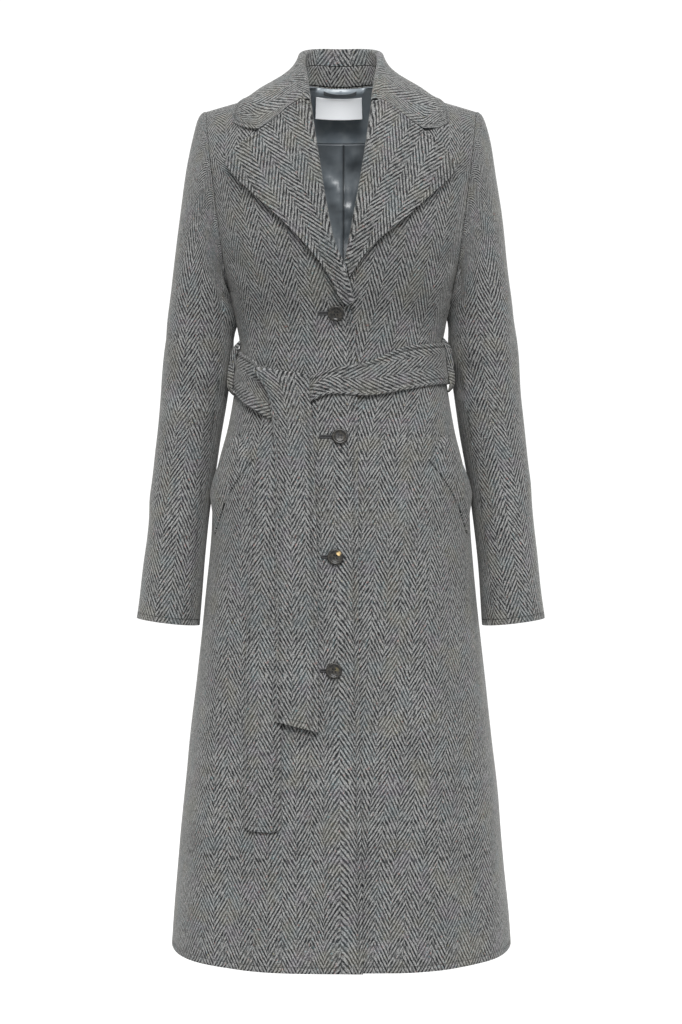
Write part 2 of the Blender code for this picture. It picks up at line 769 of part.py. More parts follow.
def stand_height(station):
    """Height of the stand's seam with the fall over the neck seam."""
    base, fold, _, _ = collar_axes(station)
    full = (fold - base).length * STAND_SHARE
    tip = min(STAND_TIP, full) * ease(1.0, STAND_END, station)
    return tip + (full - tip) * ease(STAND_END, SHOULDER_STATION - 0.1, station)


def stand_point(station, share):
    station *= STAND_END
    base, _, rise, _ = collar_axes(station)
    top = stand_height(station) - STAND_SEAM
    return base + rise * (STAND_GAP + (top - STAND_GAP) * share)


def gorge_line(share):
    """Where the fall ends at the front: along the gorge, then out to the tip of the collar."""
    share = GORGE_START + (1 - GORGE_START) * share
    ends = GORGE if share < NOTCH_SHARE else COLLAR_TIP
    point, normal = front_at(LEFT, read(ends, "out", share), read(ends, "height", share) + GORGE_SEAM)
    return point + normal * max(lapel_lift(share), COLLAR_REST)


def fall_line(station, share):
    """The fall from the end of the fold to its outer edge, before the gorge or the shoulders shape it."""
    _, fold, rise, out = collar_axes(station)
    start = fold - rise * COLLAR_RADIUS + out * 2 * COLLAR_RADIUS
    edge = collar_row(station, "edge")
    chord = edge - start
    face = (out - chord * out.dot(chord) / chord.dot(chord)).normalized() * chord.length
    near = start + chord * 0.27 - face * read(COLLAR, "hollow", station)
    far = start + chord * 0.66 + face * read(COLLAR, "bulge", station)
    t = share
    return start * (1 - t) ** 3 + near * 3 * t * (1 - t) ** 2 + far * 3 * t * t * (1 - t) + edge * t**3


def fall_point(station, share):
    point = fall_line(station, share)
    if station > GORGE_BLEND:
        blend = ease(GORGE_BLEND, 1.0, station) * ease(0.0, 0.12, share)
        point += (gorge_line(share) - fall_line(1.0, share)) * blend
    free = ease(0.8, 1.0, station)
    return point.lerp(rest_on_body(point, COLLAR_REST), 1 - free)


def collar_point(station, share):
    """The fall in section: up from the stand's seam, over the fold, and down to the outer edge."""
    place = share * (RISE_COLUMNS + FOLD_COLUMNS + FALL_COLUMNS)
    base, fold, rise, out = collar_axes(station)
    if place <= RISE_COLUMNS:
        start = base + rise * stand_height(station)
        end = fold - rise * COLLAR_RADIUS
        return start + (end - start) * place / RISE_COLUMNS
    place -= RISE_COLUMNS
    if place <= FOLD_COLUMNS:
        turn = math.pi * place / FOLD_COLUMNS
        up, over = math.sin(turn) - 1, 1 - math.cos(turn)
        return fold + (rise * up + out * over) * COLLAR_RADIUS
    return fall_point(station, (place - FOLD_COLUMNS) / FALL_COLUMNS)


def both_sides(point_at):
    """A surface right round the neck, from one half: across runs along the section, up round the neck."""

    def surface(across, up):
        around = 2 * up - 1
        point = point_at(abs(around), across)
        return Vector((math.copysign(point.x, around) if around else 0.0, point.y, point.z))

    return surface


def make_collar():
    half = DOUBLE_WALL / 2
    columns = RISE_COLUMNS + FOLD_COLUMNS + FALL_COLUMNS
    cloth("collar_fall", "wool", columns, COLLAR_ROWS, faced(both_sides(collar_point)), half, -half)
    cloth("collar_stand", "wool", STAND_COLUMNS, STAND_ROWS, faced(both_sides(stand_point)), half, -half)


# --- Belt --------------------------------------------------------------------------------------------------


def make_band(name, rows, columns):
    """A stretch of the belt, lying round the body."""
    first, last = rows["turn"][0], rows["turn"][-1]

    def frame(across, up):
        turn = first + (last - first) * across
        top, bottom = read(rows, "top", turn), read(rows, "bottom", turn)
        point, normal = ring_frame(turn, bottom + (top - bottom) * up)
        return point + normal * read(rows, "lift", turn), normal

    cloth(name, "wool", columns, BAND_ROWS, frame, 0.0, -DOUBLE_WALL)


def tail_frame(rows, across, up):
    left = (read(rows, "left_x", up), read(rows, "left_z", up))
    right = (read(rows, "right_x", up), read(rows, "right_z", up))
    x = left[0] + (right[0] - left[0]) * across
    height = left[1] + (right[1] - left[1]) * across
    point, normal = front_at(RIGHT, -x, height)
    return point + normal * read(rows, "lift", up), normal


def make_tails():
    cloth("belt_tail_lower", "wool", 2, 12, lambda u, v: tail_frame(TAIL_LOWER, u, v), 0.0, -DOUBLE_WALL)
    straight, turned = 12, 4
    rows = straight + turned

    def surface(across, up):
        place = up * rows
        if place <= straight:
            point, normal = tail_frame(TAIL_UPPER, across, place / straight)
            return point - normal * DOUBLE_WALL / 2
        point, normal = tail_frame(TAIL_UPPER, across, 1.0)
        along = Vector((0, 0, 1))
        turn = math.pi * (place - straight) / turned
        centre = point - normal * (DOUBLE_WALL / 2 + TAIL_TURN)
        return centre + (normal * math.cos(turn) + along * math.sin(turn)) * TAIL_TURN

    half = DOUBLE_WALL / 2
    cloth("belt_tail_upper", "wool", 2, rows, faced(surface), half, -half)


def make_loop(wearer):
    rows = len(LOOP["height"]) - 1

    def frame(across, up):
        row = round(up * rows)
        point, normal = ring_frame(wearer * LOOP_TURN, LOOP["height"][row])
        sideways = ring_frame(wearer * LOOP_TURN + 1, LOOP["height"][row])[0] - point
        middle = point + normal * LOOP["lift"][row]
        return middle + sideways.normalized() * LOOP_WIDTH * (across - 0.5), normal

    name = f"belt_loop_{'right' if wearer == RIGHT else 'left'}"
    cloth(name, "wool", 1, rows, frame, 0.0, -LOOP_WALL)


# --- Pockets, buttons, inside of the neck ------------------------------------------------------------------


def make_pocket(wearer):
    def frame(across, up):
        sewn = read(POCKET, "sewn_turn", up), read(POCKET, "sewn_height", up)
        opened = read(POCKET, "open_turn", up), read(POCKET, "open_height", up)
        turn = sewn[0] + (opened[0] - sewn[0]) * across
        height = sewn[1] + (opened[1] - sewn[1]) * across
        point, normal = ring_frame(turn * wearer, height)
        lift = POCKET_LIFT[0] + (POCKET_LIFT[1] - POCKET_LIFT[0]) * across
        return point + normal * lift, normal

    name = f"pocket_{'right' if wearer == RIGHT else 'left'}"
    cloth(name, "wool", 3, 8, frame, 0.0, -DOUBLE_WALL)


def make_button(number, x, height):
    """A turned disc with a raised rim, on its sewn shank, facing as the cloth does there."""
    point, normal = front_at(RIGHT, -x, height)
    bm = bmesh.new()
    radii, heights = BUTTON_SECTION["radius_share"], BUTTON_SECTION["height"]
    profile = [bm.verts.new((BUTTON_RADIUS * r, 0.0, z)) for r, z in zip(radii, heights)]
    edges = [bm.edges.new(pair) for pair in zip(profile, profile[1:])]
    bmesh.ops.spin(
        bm, geom=profile + edges, cent=(0, 0, 0), axis=(0, 0, 1), angle=2 * math.pi, steps=BUTTON_SIDES,
        use_merge=True,
    )
    bmesh.ops.remove_doubles(bm, verts=bm.verts[:], dist=1e-6)
    bmesh.ops.recalc_face_normals(bm, faces=bm.faces[:])
    bmesh.ops.rotate(bm, verts=bm.verts[:], matrix=Vector((0, 0, 1)).rotation_difference(normal).to_matrix())
    bmesh.ops.translate(bm, verts=bm.verts[:], vec=point)
    add_object(f"button_{number}", bm, "horn")


def make_lining():
    """The lining of the upper back lies on the back's own rows, from the waist to the neck seam."""
    rows = len(PANEL_ROWS) - 1

    def frame(across, up):
        place = (LINING_ROW + (rows - LINING_ROW) * up) / rows
        point, normal = back_frame(across, place)
        return point - normal * (WALL + LINING_AIR), normal

    cloth("lining", "lining", BACK_COLUMNS, rows - LINING_ROW, frame, 0.0, -LINING_WALL)


def inside_back(x, height, depth):
    """A point inside the back of the neck, at a depth under the lining's face."""
    level = level_at(x, height)
    point, normal = body_frame(BACK, angle_at(x, level), level)
    return point - normal * (WALL + LINING_AIR + LINING_WALL + depth), normal


def make_label():
    def frame(across, up):
        x = LABEL_X + LABEL_WIDTH * (across - 0.5)
        return inside_back(x, LABEL_BOTTOM + (LABEL_TOP - LABEL_BOTTOM) * up, LABEL_AIR)

    cloth("label", "label", 6, 3, frame, 0.0, -LABEL_WALL)


def make_hanger_loop():
    def frame(across, up):
        x = HANGER_X + HANGER_HALF_LENGTH * (2 * across - 1)
        sag = HANGER_SAG * (1 - (2 * across - 1) ** 4)
        height = HANGER_TOP - HANGER_HEIGHT * (1 - up) - sag / 2
        return inside_back(x, height, HANGER_AIR + sag)

    cloth("hanger_loop", "lining", 8, 1, frame, 0.0, -HANGER_WALL)


def make_coat():
    clear_scene()
    make_back()
    for wearer in (RIGHT, LEFT):
        make_front(wearer)
        make_sleeve(wearer, "top", -SLEEVE_SEAM, SLEEVE_SEAM, 12)
        make_sleeve(wearer, "under", SLEEVE_SEAM, 2 * math.pi - SLEEVE_SEAM, 4)
        make_lapel(wearer)
        make_loop(wearer)
        make_pocket(wearer)
    make_collar()
    make_band("belt_back", BELT_BACK, 16)
    make_band("belt_front_right", BELT_RIGHT, 8)
    make_band("belt_front_left", BELT_LEFT, 12)
    make_band("belt_knot", BELT_KNOT, 4)
    make_tails()
    for row in zip(*BUTTONS.values()):
        make_button(*row)
    make_lining()
    make_label()
    make_hanger_loop()


make_coat()
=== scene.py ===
"""Looks of a belted wool overcoat in grey herringbone, filled out as worn with no wearer in it.

Metres, +Z up, front towards -Y, the wearer's right at -X. Each piece of cloth is a fine shell laid over the
same forms as the frame's solids: body, sleeves, lapels and collar. Its weave map follows its cut's grain.
"""

import json
import math
from functools import lru_cache

import bmesh
import bpy
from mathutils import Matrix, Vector, noise

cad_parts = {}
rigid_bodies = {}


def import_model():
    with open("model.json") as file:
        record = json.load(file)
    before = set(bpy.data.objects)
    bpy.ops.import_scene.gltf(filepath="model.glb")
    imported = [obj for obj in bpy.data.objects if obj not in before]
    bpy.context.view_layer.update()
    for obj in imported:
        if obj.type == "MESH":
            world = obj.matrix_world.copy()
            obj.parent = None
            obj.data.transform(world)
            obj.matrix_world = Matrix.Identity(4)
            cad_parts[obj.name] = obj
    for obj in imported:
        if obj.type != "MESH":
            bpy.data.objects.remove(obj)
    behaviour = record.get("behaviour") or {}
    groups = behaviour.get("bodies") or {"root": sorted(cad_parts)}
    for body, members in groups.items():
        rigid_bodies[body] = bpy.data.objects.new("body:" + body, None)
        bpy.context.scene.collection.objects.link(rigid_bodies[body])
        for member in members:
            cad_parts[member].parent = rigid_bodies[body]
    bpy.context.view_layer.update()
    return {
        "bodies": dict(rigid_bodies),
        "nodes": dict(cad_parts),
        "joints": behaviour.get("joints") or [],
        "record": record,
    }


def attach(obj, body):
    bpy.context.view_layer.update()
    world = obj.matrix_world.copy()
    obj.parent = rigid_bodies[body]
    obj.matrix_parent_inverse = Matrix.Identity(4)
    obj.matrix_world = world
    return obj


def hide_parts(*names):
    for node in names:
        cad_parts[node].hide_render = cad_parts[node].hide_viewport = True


FRONT, BACK = -1, 1
RIGHT, LEFT = -1, 1
SIDES = {RIGHT: "right", LEFT: "left"}
QUARTER = math.pi / 2
BODY_NAME = "root"


def table(columns, *rows):
    """Columns by name. The first one is the key, and rises down the rows."""
    return dict(zip(columns.split(), zip(*rows)))


# --- Cloth -------------------------------------------------------------------------------------------------

WALL = 0.0025
DOUBLE_WALL = 0.0030
LINING_WALL = 0.0010
SEAM_GAP = 0.0003
EDGE_ROUND = 0.0011
RIM_ANGLE = math.radians(60)
RIM_SEGMENTS = 3
SEAM_ROUND = 0.4  # a seam's edges beside a finished edge's round
NO_EDGE = 0.06  # the furthest in from a finished edge that counts
FOLD_FADE = 0.25  # share of a soft fold's length that it rises over, on both sides of its end
FOLD_REACH = 3  # widths out from its line at which a soft fold is nothing
WAVER_SIZE, WAVER_DEPTH = 0.11, 0.0022

# Rows of the body's panels, at the skirt, waist and armhole, and their columns
SKIRT_ROWS, SKIRT_TOP = 64, -0.50
WAIST_ROWS = 36
ARMHOLE_ROWS = 48
FRONT_COLUMNS, BACK_COLUMNS = 72, 100
NECK_COLUMN = 15

# --- Body and fronts ---------------------------------------------------------------------------------------

HEM = -1.1255
HEM_RISE = 0.006
HEM_CURVE_TOP = -0.95
YOKE = -0.130
NOMINAL_TOP = 0.0
NECK_X = 0.062
BACK_NECK_LEVEL = 0.655
SHOULDER_AT_CENTRE = 0.01625
SHOULDER_SLOPE = 0.27
NECK_RISE = 0.0255
NECK_RISE_WIDTH = 0.078
NECK_ROUND = 0.020
FLUTE_TOP = -0.50
FLUTE_DEPTH = 0.0025
FLUTES = ((5, 0.6, 1.0), (8, -1.1, 0.6))  # waves to a turn, where they start, and how deep

BODY = table(
    "height half_width front_depth back_depth squareness",
    (-1.126, 0.2222, 0.178, 0.168, 2.70),
    (-0.967, 0.2090, 0.164, 0.159, 2.60),
    (-0.808, 0.1930, 0.149, 0.149, 2.45),
    (-0.650, 0.1757, 0.136, 0.139, 2.35),
    (-0.590, 0.1704, 0.131, 0.135, 2.30),
    (-0.530, 0.1670, 0.126, 0.130, 2.30),
    (-0.491, 0.1590, 0.121, 0.122, 2.30),
    (-0.452, 0.1495, 0.115, 0.112, 2.25),
    (-0.400, 0.1405, 0.108, 0.097, 2.20),
    (-0.345, 0.1340, 0.105, 0.088, 2.20),
    (-0.313, 0.1360, 0.111, 0.091, 2.20),
    (-0.275, 0.1468, 0.124, 0.101, 2.30),
    (-0.220, 0.1640, 0.131, 0.112, 2.45),
    (-0.150, 0.1770, 0.123, 0.117, 2.50),
    (-0.080, 0.1860, 0.113, 0.111, 2.45),
    (0.000, 0.1860, 0.100, 0.100, 2.30),
)

# Inner edge of each front, out from the centre: the lap below, the lapel's roll line, then the neck seam.
FRONT_EDGE = table(
    "level right left",
    (-0.992, -0.0269, -0.0300),
    (-0.600, -0.0222, -0.0280),
    (-0.320, -0.0212, -0.0260),
    (-0.230, -0.0185, -0.0240),
    (-0.195, -0.0172, -0.0230),
    (-0.170, -0.0113, -0.0170),
    (-0.145, -0.0048, 0.0000),
    (-0.119, 0.0024, 0.0105),
    (-0.093, 0.0142, 0.0152),
    (-0.048, 0.0232, 0.0232),
    (0.000, 0.0312, 0.0310),
    (0.200, 0.0382, 0.0386),
    (0.470, 0.0436, 0.0442),
    (0.620, 0.0462, 0.0465),
    (0.800, 0.0520, 0.0520),
    (1.000, NECK_X, NECK_X),
)

# Overlap of the fronts: how far the left one lies in, and where that starts and is full
UNDERLAP = 0.0034
UNDERLAP_OUT = (0.100, 0.045)
UNDERLAP_HEIGHT = (-0.185, -0.235)
LAP_PUFF = 0.0012
LAP_PUFF_IN, LAP_PUFF_HEIGHT = (-0.024, -0.004), (-0.25, -0.33)
CENTRE_SEAM, CENTRE_SEAM_WIDTH = 0.0008, 0.0025

# Where the cloth is held and where it is free: angle, level, height, and distance in from the armhole
FREE_SIDE = (QUARTER, QUARTER * 0.93)
FREE_SHOULDER = (1.0, 0.9)
FREE_COLLAR = (0.0, -0.08)
FREE_ARMHOLE = (0.0, 0.012)
BELT_HOLD, BELT_HEIGHT, BELT_HOLD_SPAN = 0.75, -0.385, 0.038

# Share of a piece's width and height from which its inner face is lined
LINED_FROM, LINED_HEM = 0.42, 0.02

# --- Sleeves -----------------------------------------------------------------------------------------------

# Armhole: where the plane x = ARMHOLE_X + ARMHOLE_LEAN * z meets the body form
ARMHOLE_X = 0.182
ARMHOLE_LEAN = 0.128
ARMHOLE_TOP = -0.0318
ARMHOLE_BOTTOM = -0.2750

# Sleeve below the cap, on the arm's side of the body.
SLEEVE = table(
    "height centre_x centre_y half_width half_depth",
    (-0.702, 0.2243, -0.034, 0.0410, 0.0500),
    (-0.640, 0.2190, -0.025, 0.0392, 0.0510),
    (-0.570, 0.2130, -0.013, 0.0388, 0.0530),
    (-0.491, 0.2043, -0.001, 0.0412, 0.0555),
    (-0.412, 0.1942, 0.004, 0.0436, 0.0580),
    (-0.350, 0.1882, 0.004, 0.0458, 0.0600),
    (-0.300, 0.1850, 0.002, 0.0425, 0.0610),
)
CUFF = -0.702
CUFF_TILT = 0.12
SLEEVE_SQUARENESS = 2.15
SLEEVE_TOP = -0.300
SLEEVE_SEAM = math.radians(135)
SLEEVE_LINED = (0.36, 0.965)  # share of the rows between which the inner face is lined
SLEEVE_COLUMNS = {"top": 72, "under": 24}
CAP_ROWS, ARM_ROWS = 26, 50
CAP_REACH, CAP_UNDER = 0.074, 0.16  # how far the cap leaves the armhole, and the share left under the arm
CAP_FALL = -0.012
CAP_DROP = 0.95
CAP_GAP = 0.0004
CAP_PUFF, CAP_PUFF_PLACE, CAP_PUFF_LENGTH = 0.0012, 0.10, 0.09
CAP_PUFF_UNDER = 0.25  # share of the puff left under the arm
SLEEVE_WAVER_SIZE, SLEEVE_WAVER = 0.07, 0.0014
SLEEVE_FREE_CAP, SLEEVE_FREE_SEAM = 0.25, 0.06  # shares over which the folds start at the cap and the seams
SLEEVE_SHIFT = {RIGHT: (0.010, 0.018), LEFT: (0.0, 0.0)}  # folds lie a little differently on each sleeve

# --- Lapels ------------------------------------------------------------------------------------------------

# Each row runs from the roll line to the outer edge, both out from the centre.
LAPEL_RIGHT = table(
    "share roll_out roll_height edge_out edge_height",
    (0.00, -0.0150, -0.2930, -0.0075, -0.3010),
    (0.14, -0.0087, -0.2710, 0.0050, -0.2840),
    (0.27, -0.0025, -0.2490, 0.0137, -0.2650),
    (0.40, 0.0068, -0.2290, 0.0336, -0.2378),
    (0.56, 0.0140, -0.2030, 0.0650, -0.2030),
    (0.76, 0.0238, -0.1470, 0.1070, -0.1610),
    (0.90, 0.0328, -0.0870, 0.1303, -0.1362),
    (1.00, 0.0388, -0.0396, 0.1437, -0.1165),
)
LAPEL_LEFT = table(
    "share roll_out roll_height edge_out edge_height",
    (0.00, 0.0058, -0.2465, 0.0104, -0.2660),
    (0.20, 0.0105, -0.2227, 0.0283, -0.2394),
    (0.40, 0.0160, -0.1930, 0.0484, -0.2179),
    (0.60, 0.0222, -0.1580, 0.0803, -0.1912),
    (0.80, 0.0300, -0.1100, 0.1170, -0.1544),
    (0.92, 0.0350, -0.0740, 0.1348, -0.1352),
    (1.00, 0.0394, -0.0396, 0.1435, -0.1200),
)
LAPELS = {RIGHT: LAPEL_RIGHT, LEFT: LAPEL_LEFT}
# Gorge seam from the roll line to the notch, then the lapel's top edge or the collar's front edge.
GORGE = table(
    "share out height",
    (0.00, 0.0391, -0.0396),
    (0.15, 0.0487, -0.0388),
    (0.32, 0.0648, -0.0475),
    (0.55, 0.0856, -0.0645),
    (0.75, 0.1049, -0.0784),
)
NOTCH_SHARE = 0.75
LAPEL_TIP = table(
    "share out height",
    (0.75, 0.1049, -0.0800),
    (0.88, 0.1265, -0.0950),
    (1.00, 0.1437, -0.1165),
)
COLLAR_TIP = table(
    "share out height",
    (0.75, 0.1049, -0.0768),
    (0.88, 0.1240, -0.0705),
    (1.00, 0.1395, -0.0585),
)
ROLL_RADIUS = 0.0040
ROLL_NARROWEST = 0.42  # share of a narrow row's width that its roll may take
LAPEL_REST = 0.0030  # height of the middle of the lapel over the front at its outer edge
LAPEL_FALL = (0.05, 0.85)  # shares of the width between which it comes down to that
LAPEL_TOP_BLEND, LAPEL_ROLL_BLEND = (0.55, 1.0), (0.0, 0.10)  # where its rows take on the gorge's line
LAPEL_WAVER_SIZE, LAPEL_WAVER, LAPEL_WAVER_FROM = 0.06, 0.0009, (0.0, 0.4)
LAPEL_EDGE, LAPEL_EDGE_FROM, LAPEL_EDGE_FOOT = 0.0028, (0.78, 1.0), (0.0, 0.12)  # how far the edge stands out
TURN_COLUMNS, LAPEL_COLUMNS, LAPEL_ROWS = 16, 28, 78
TURN_SHARE = TURN_COLUMNS / (TURN_COLUMNS + LAPEL_COLUMNS)

# --- Collar ------------------------------------------------------------------------------------------------

# From the centre back (0) to the gorge (1). The fall is hollow where it leaves the roll.
COLLAR = table(
    "station fold_x fold_y fold_z edge_x edge_y edge_z hollow bulge",
    (0.00, 0.0000, 0.0600, 0.0660, 0.0000, 0.0930, -0.0220, 0.10, 0.03),
    (0.20, 0.0290, 0.0530, 0.0645, 0.0520, 0.0890, -0.0235, 0.11, 0.04),
    (0.40, 0.0450, 0.0290, 0.0545, 0.1000, 0.0570, -0.0210, 0.11, 0.05),
    (0.56, 0.0475, 0.0020, 0.0385, 0.1230, 0.0150, -0.0150, 0.12, 0.07),
    (0.72, 0.0453, -0.0290, 0.0165, 0.1290, -0.0190, -0.0220, 0.09, 0.05),
    (0.86, 0.0422, -0.0555, -0.0060, 0.1370, -0.0400, -0.0370, 0.05, 0.02),
    (1.00, 0.0388, -0.0832, -0.0388, 0.1395, -0.0600, -0.0585, 0.00, 0.00),
)
SHOULDER_STATION = 0.56
STAND_SHARE = 0.55
STAND_GAP = 0.0005
STAND_SEAM = 0.0008  # more room where the seam with the fall twists round the neck
STAND_TIP = 0.0022
STAND_TAPER = 0.1  # how far behind the shoulder the stand starts to taper
NECK_INSET = 0.0014  # the collar lies just inside the edge of the fronts
REST_SOFTNESS = 0.003
COLLAR_REST = 0.0034  # least height of the middle of the fall over the body
COLLAR_FREE = 0.8  # station from which the fall no longer rests on the body form
COLLAR_RADIUS = 0.0038
FALL_NEAR, FALL_FAR = 0.27, 0.66  # shares of the fall's width at which its hollow and its bulge pull
GORGE_LEVEL = 0.430
GORGE_SEAM = 0.0011
GORGE_TILT = 0.62  # how much the fold leans upwards at the gorge, to lie square to the front
GORGE_START = 0.03  # share of the gorge taken up by the roll
GORGE_BLEND = 0.70  # station from which the fall takes on the line of the gorge
GORGE_ROLL_BLEND = 0.12  # share of the fall over which that begins
COLLAR_EDGE, COLLAR_EDGE_FROM = 0.0022, 0.80  # how far the fall's edge stands out, and from which share
NOTCH_LIFT, NOTCH_LIFT_FROM = 0.0016, 0.93
COLLAR_WAVER_SIZE, COLLAR_WAVER, COLLAR_WAVER_FROM = 0.05, 0.0009, (0.35, 0.6)
RISE_COLUMNS, FOLD_COLUMNS, FALL_COLUMNS = 4, 16, LAPEL_COLUMNS
COLLAR_COLUMNS = RISE_COLUMNS + FOLD_COLUMNS + FALL_COLUMNS
COLLAR_ROWS, STAND_ROWS = 144, 120  # round the neck, at the same stations
STAND_END = STAND_ROWS / COLLAR_ROWS  # station at which the stand tapers out
STAND_COLUMNS = 8
FOLD_STEPS = 24  # steps in which the length of the whole fold is measured

# --- Belt --------------------------------------------------------------------------------------------------

# At turns in degrees from the centre front, positive on the wearer's left
BELT_RIGHT = table(
    "turn top bottom lift",
    (-88.5, -0.3445, -0.3945, 0.0043),
    (-69.0, -0.3545, -0.4095, 0.0043),
    (-58.0, -0.3605, -0.4190, 0.0062),
    (-47.8, -0.3694, -0.4282, 0.0084),
    (-35.5, -0.3846, -0.4420, 0.0090),
    (-27.0, -0.3930, -0.4480, 0.0090),
)
# The left end runs on under the tie.
BELT_LEFT_AND_KNOT = table(
    "turn top bottom lift",
    (-24.0, -0.4010, -0.4330, 0.0088),
    (-17.0, -0.3930, -0.4290, 0.0078),
    (-11.0, -0.3860, -0.4190, 0.0068),
    (-5.2, -0.3800, -0.4125, 0.0056),
    (1.6, -0.3757, -0.4123, 0.0046),
    (11.9, -0.3706, -0.4136, 0.0043),
    (33.2, -0.3505, -0.4051, 0.0043),
    (57.5, -0.3435, -0.3968, 0.0043),
    (88.5, -0.3365, -0.3920, 0.0043),
)
BELT_BACK = table(
    "turn top bottom lift",
    (89.2, -0.3365, -0.3920, 0.0050),
    (135.0, -0.3370, -0.3880, 0.0050),
    (180.0, -0.3370, -0.3880, 0.0050),
    (225.0, -0.3390, -0.3900, 0.0050),
    (270.8, -0.3440, -0.3940, 0.0050),
)
BELT_CROWN, BELT_CROWN_FROM, BELT_SINK = 0.0010, (0.0, 0.5), 0.6
BELT_PUCKER_SIZE, BELT_PUCKER, BELT_PUCKER_SQUASH = 0.034, 0.0011, 2.5
BAND_ROWS = 14
BAND_COLUMNS = {"belt_back": 96, "belt_front_right": 56, "belt_front_left": 104}
BAND_STEPS = 30  # steps in which the length of a band is measured

# Tails of the belt, from the lower end up: the two edges and the height of the outer face over the body
TAIL_UPPER = table(
    "share left_x left_z right_x right_z lift",
    (0.00, -0.0804, -0.8202, -0.0280, -0.8327, 0.0092),
    (0.28, -0.0792, -0.7000, -0.0281, -0.7060, 0.0092),
    (0.50, -0.0795, -0.6000, -0.0297, -0.6030, 0.0092),
    (0.72, -0.0800, -0.5000, -0.0327, -0.5000, 0.0094),
    (0.84, -0.0820, -0.4401, -0.0353, -0.4401, 0.0140),
    (0.91, -0.0860, -0.4110, -0.0370, -0.4150, 0.0166),
    (1.00, -0.1020, -0.3800, -0.0370, -0.3930, 0.0182),
)
TAIL_LOWER = table(
    "share left_x left_z right_x right_z lift",
    (0.00, -0.1198, -0.9560, -0.0738, -0.9560, 0.0042),
    (0.32, -0.1195, -0.7940, -0.0735, -0.7940, 0.0042),
    (0.55, -0.1172, -0.6700, -0.0710, -0.6700, 0.0042),
    (0.72, -0.1115, -0.5910, -0.0655, -0.5910, 0.0042),
    (0.90, -0.1060, -0.4890, -0.0585, -0.4890, 0.0042),
    (1.00, -0.0975, -0.4300, -0.0520, -0.4300, 0.0042),
)
TAIL_TURN = 0.0022  # radius of the roll at the top of the upper tail
TAIL_CORNER, TAIL_CORNER_SHARE, TAIL_CORNER_POWER = 0.006, 0.06, 5  # the lower tail's rounded end
# A thick edge, then a dip inside it
TAIL_ROLL, TAIL_ROLL_OUT, TAIL_ROLL_IN = 0.0013, (0.0, 0.12), (0.16, 0.34)
TAIL_DIP = 0.7
TAIL_RISE = 0.0001  # how much less a tail's edges sink than the bands'
TAIL_WAVER_SIZE, TAIL_WAVER = 0.09, 0.0010
TAIL_SOFT = (0.92, 0.86)  # shares between which the upper tail's softness ends, below its roll
TAIL_COLUMNS, TAIL_ROWS, TAIL_ROLL_ROWS = 26, 120, 12

# Belt loops at the side seams: narrow strips, twisted so that their faces show from the front
LOOP_TURN, LOOP_WIDTH, LOOP_WALL = 77.0, 0.009, 0.0016
LOOP = table(
    "height lift",
    (-0.4040, 0.0022),
    (-0.4000, 0.0062),
    (-0.3940, 0.0092),
    (-0.3700, 0.0098),
    (-0.3480, 0.0092),
    (-0.3390, 0.0062),
    (-0.3330, 0.0022),
)
LOOP_TWIST, LOOP_TWIST_POWER = math.radians(75), 0.7
LOOP_CROWN = 0.0009
LOOP_SINK = {RIGHT: -0.004, LEFT: 0.0}
LOOP_ROWS, LOOP_COLUMNS = 48, 8
LOOP_LIE = 0.7  # how slowly its weave runs with height
LOOP_RIM = 0.0006

# --- Pockets -----------------------------------------------------------------------------------------------

# Corners of a welt as turn and height, sewn edge first
POCKET = table(
    "along sewn_turn sewn_height open_turn open_height",
    (0.0, 40.8, -0.4926, 57.0, -0.4600),
    (0.5, 56.5, -0.5390, 70.0, -0.4990),
    (1.0, 70.0, -0.5880, 80.5, -0.5450),
)
WELT_SEWN, WELT_LIFT, WELT_AIR = 0.0020, 0.0058, 0.0003
WELT_SEWN_ACROSS, WELT_SEWN_ENDS = 0.30, 0.10  # shares over which it rises from its seams
WELT_SLOPE = 0.45  # share of its lift beside the sewn side
WELT_THINNEST = 0.0012
WELT_COLUMNS, WELT_ROWS = 24, 48
WELT_RIM = 0.0005

# --- Buttons and buttonholes -------------------------------------------------------------------------------

BUTTONS = table(
    "number x height",
    (1, -0.0063, -0.3096),
    (2, -0.0013, -0.4655),
    (3, -0.0069, -0.6163),
    (4, -0.0087, -0.7570),
)
BUTTON_RADIUS = 0.0101
BUTTON_SIDES = 48
BUTTON_RIM = 0.0004
# Half of a button in section: a dish inside a raised round rim, then back to its sewn shank
BUTTON_SECTION = table(
    "radius_share height",
    (0.00, 0.0031),
    (0.50, 0.0031),
    (0.60, 0.0033),
    (0.68, 0.0041),
    (0.78, 0.0047),
    (0.88, 0.0047),
    (0.96, 0.0042),
    (1.00, 0.0034),
    (0.94, 0.0022),
    (0.26, 0.0020),
    (0.24, 0.0004),
    (0.00, 0.0004),
)
BUTTON_HOLE_X, BUTTON_HOLE_RADIUS = 0.00175, 0.0009
# The clear patch in each horn button: its colour, and its place on the face
HORN_PATCH = {
    1: ((0.020, 0.018, 0.015), 0.003, -0.002),
    2: ((0.018, 0.018, 0.019), -0.003, 0.002),
    3: ((0.50, 0.36, 0.17), 0.0040, 0.0040),
    4: ((0.060, 0.052, 0.028), 0.0035, 0.0015),
}
HORN_PATCH_SPAN, HORN_PATCH_RAGGED = (0.0034, 0.0012), 0.004

HOLE_START, HOLE_WIDTH = 0.0060, 0.0052
HOLE_LENGTH = {1: 0.0175, 2: 0.0205, 3: 0.0120, 4: 0.0120}
HOLE_AIR = 0.0004
HOLE_BEAD, HOLE_BEAD_PLACE, HOLE_BEAD_WIDTH = 0.0009, 0.55, 0.26  # height, and place and width in half widths
HOLE_COLUMNS, HOLE_ROWS = 44, 14
THREAD_PITCH = 0.0008
# How far from the middle of the buttonhole the slit's painted shade starts and is full
SLIT_SPAN = (0.0007, 0.0004)

# --- Inside of the neck ------------------------------------------------------------------------------------

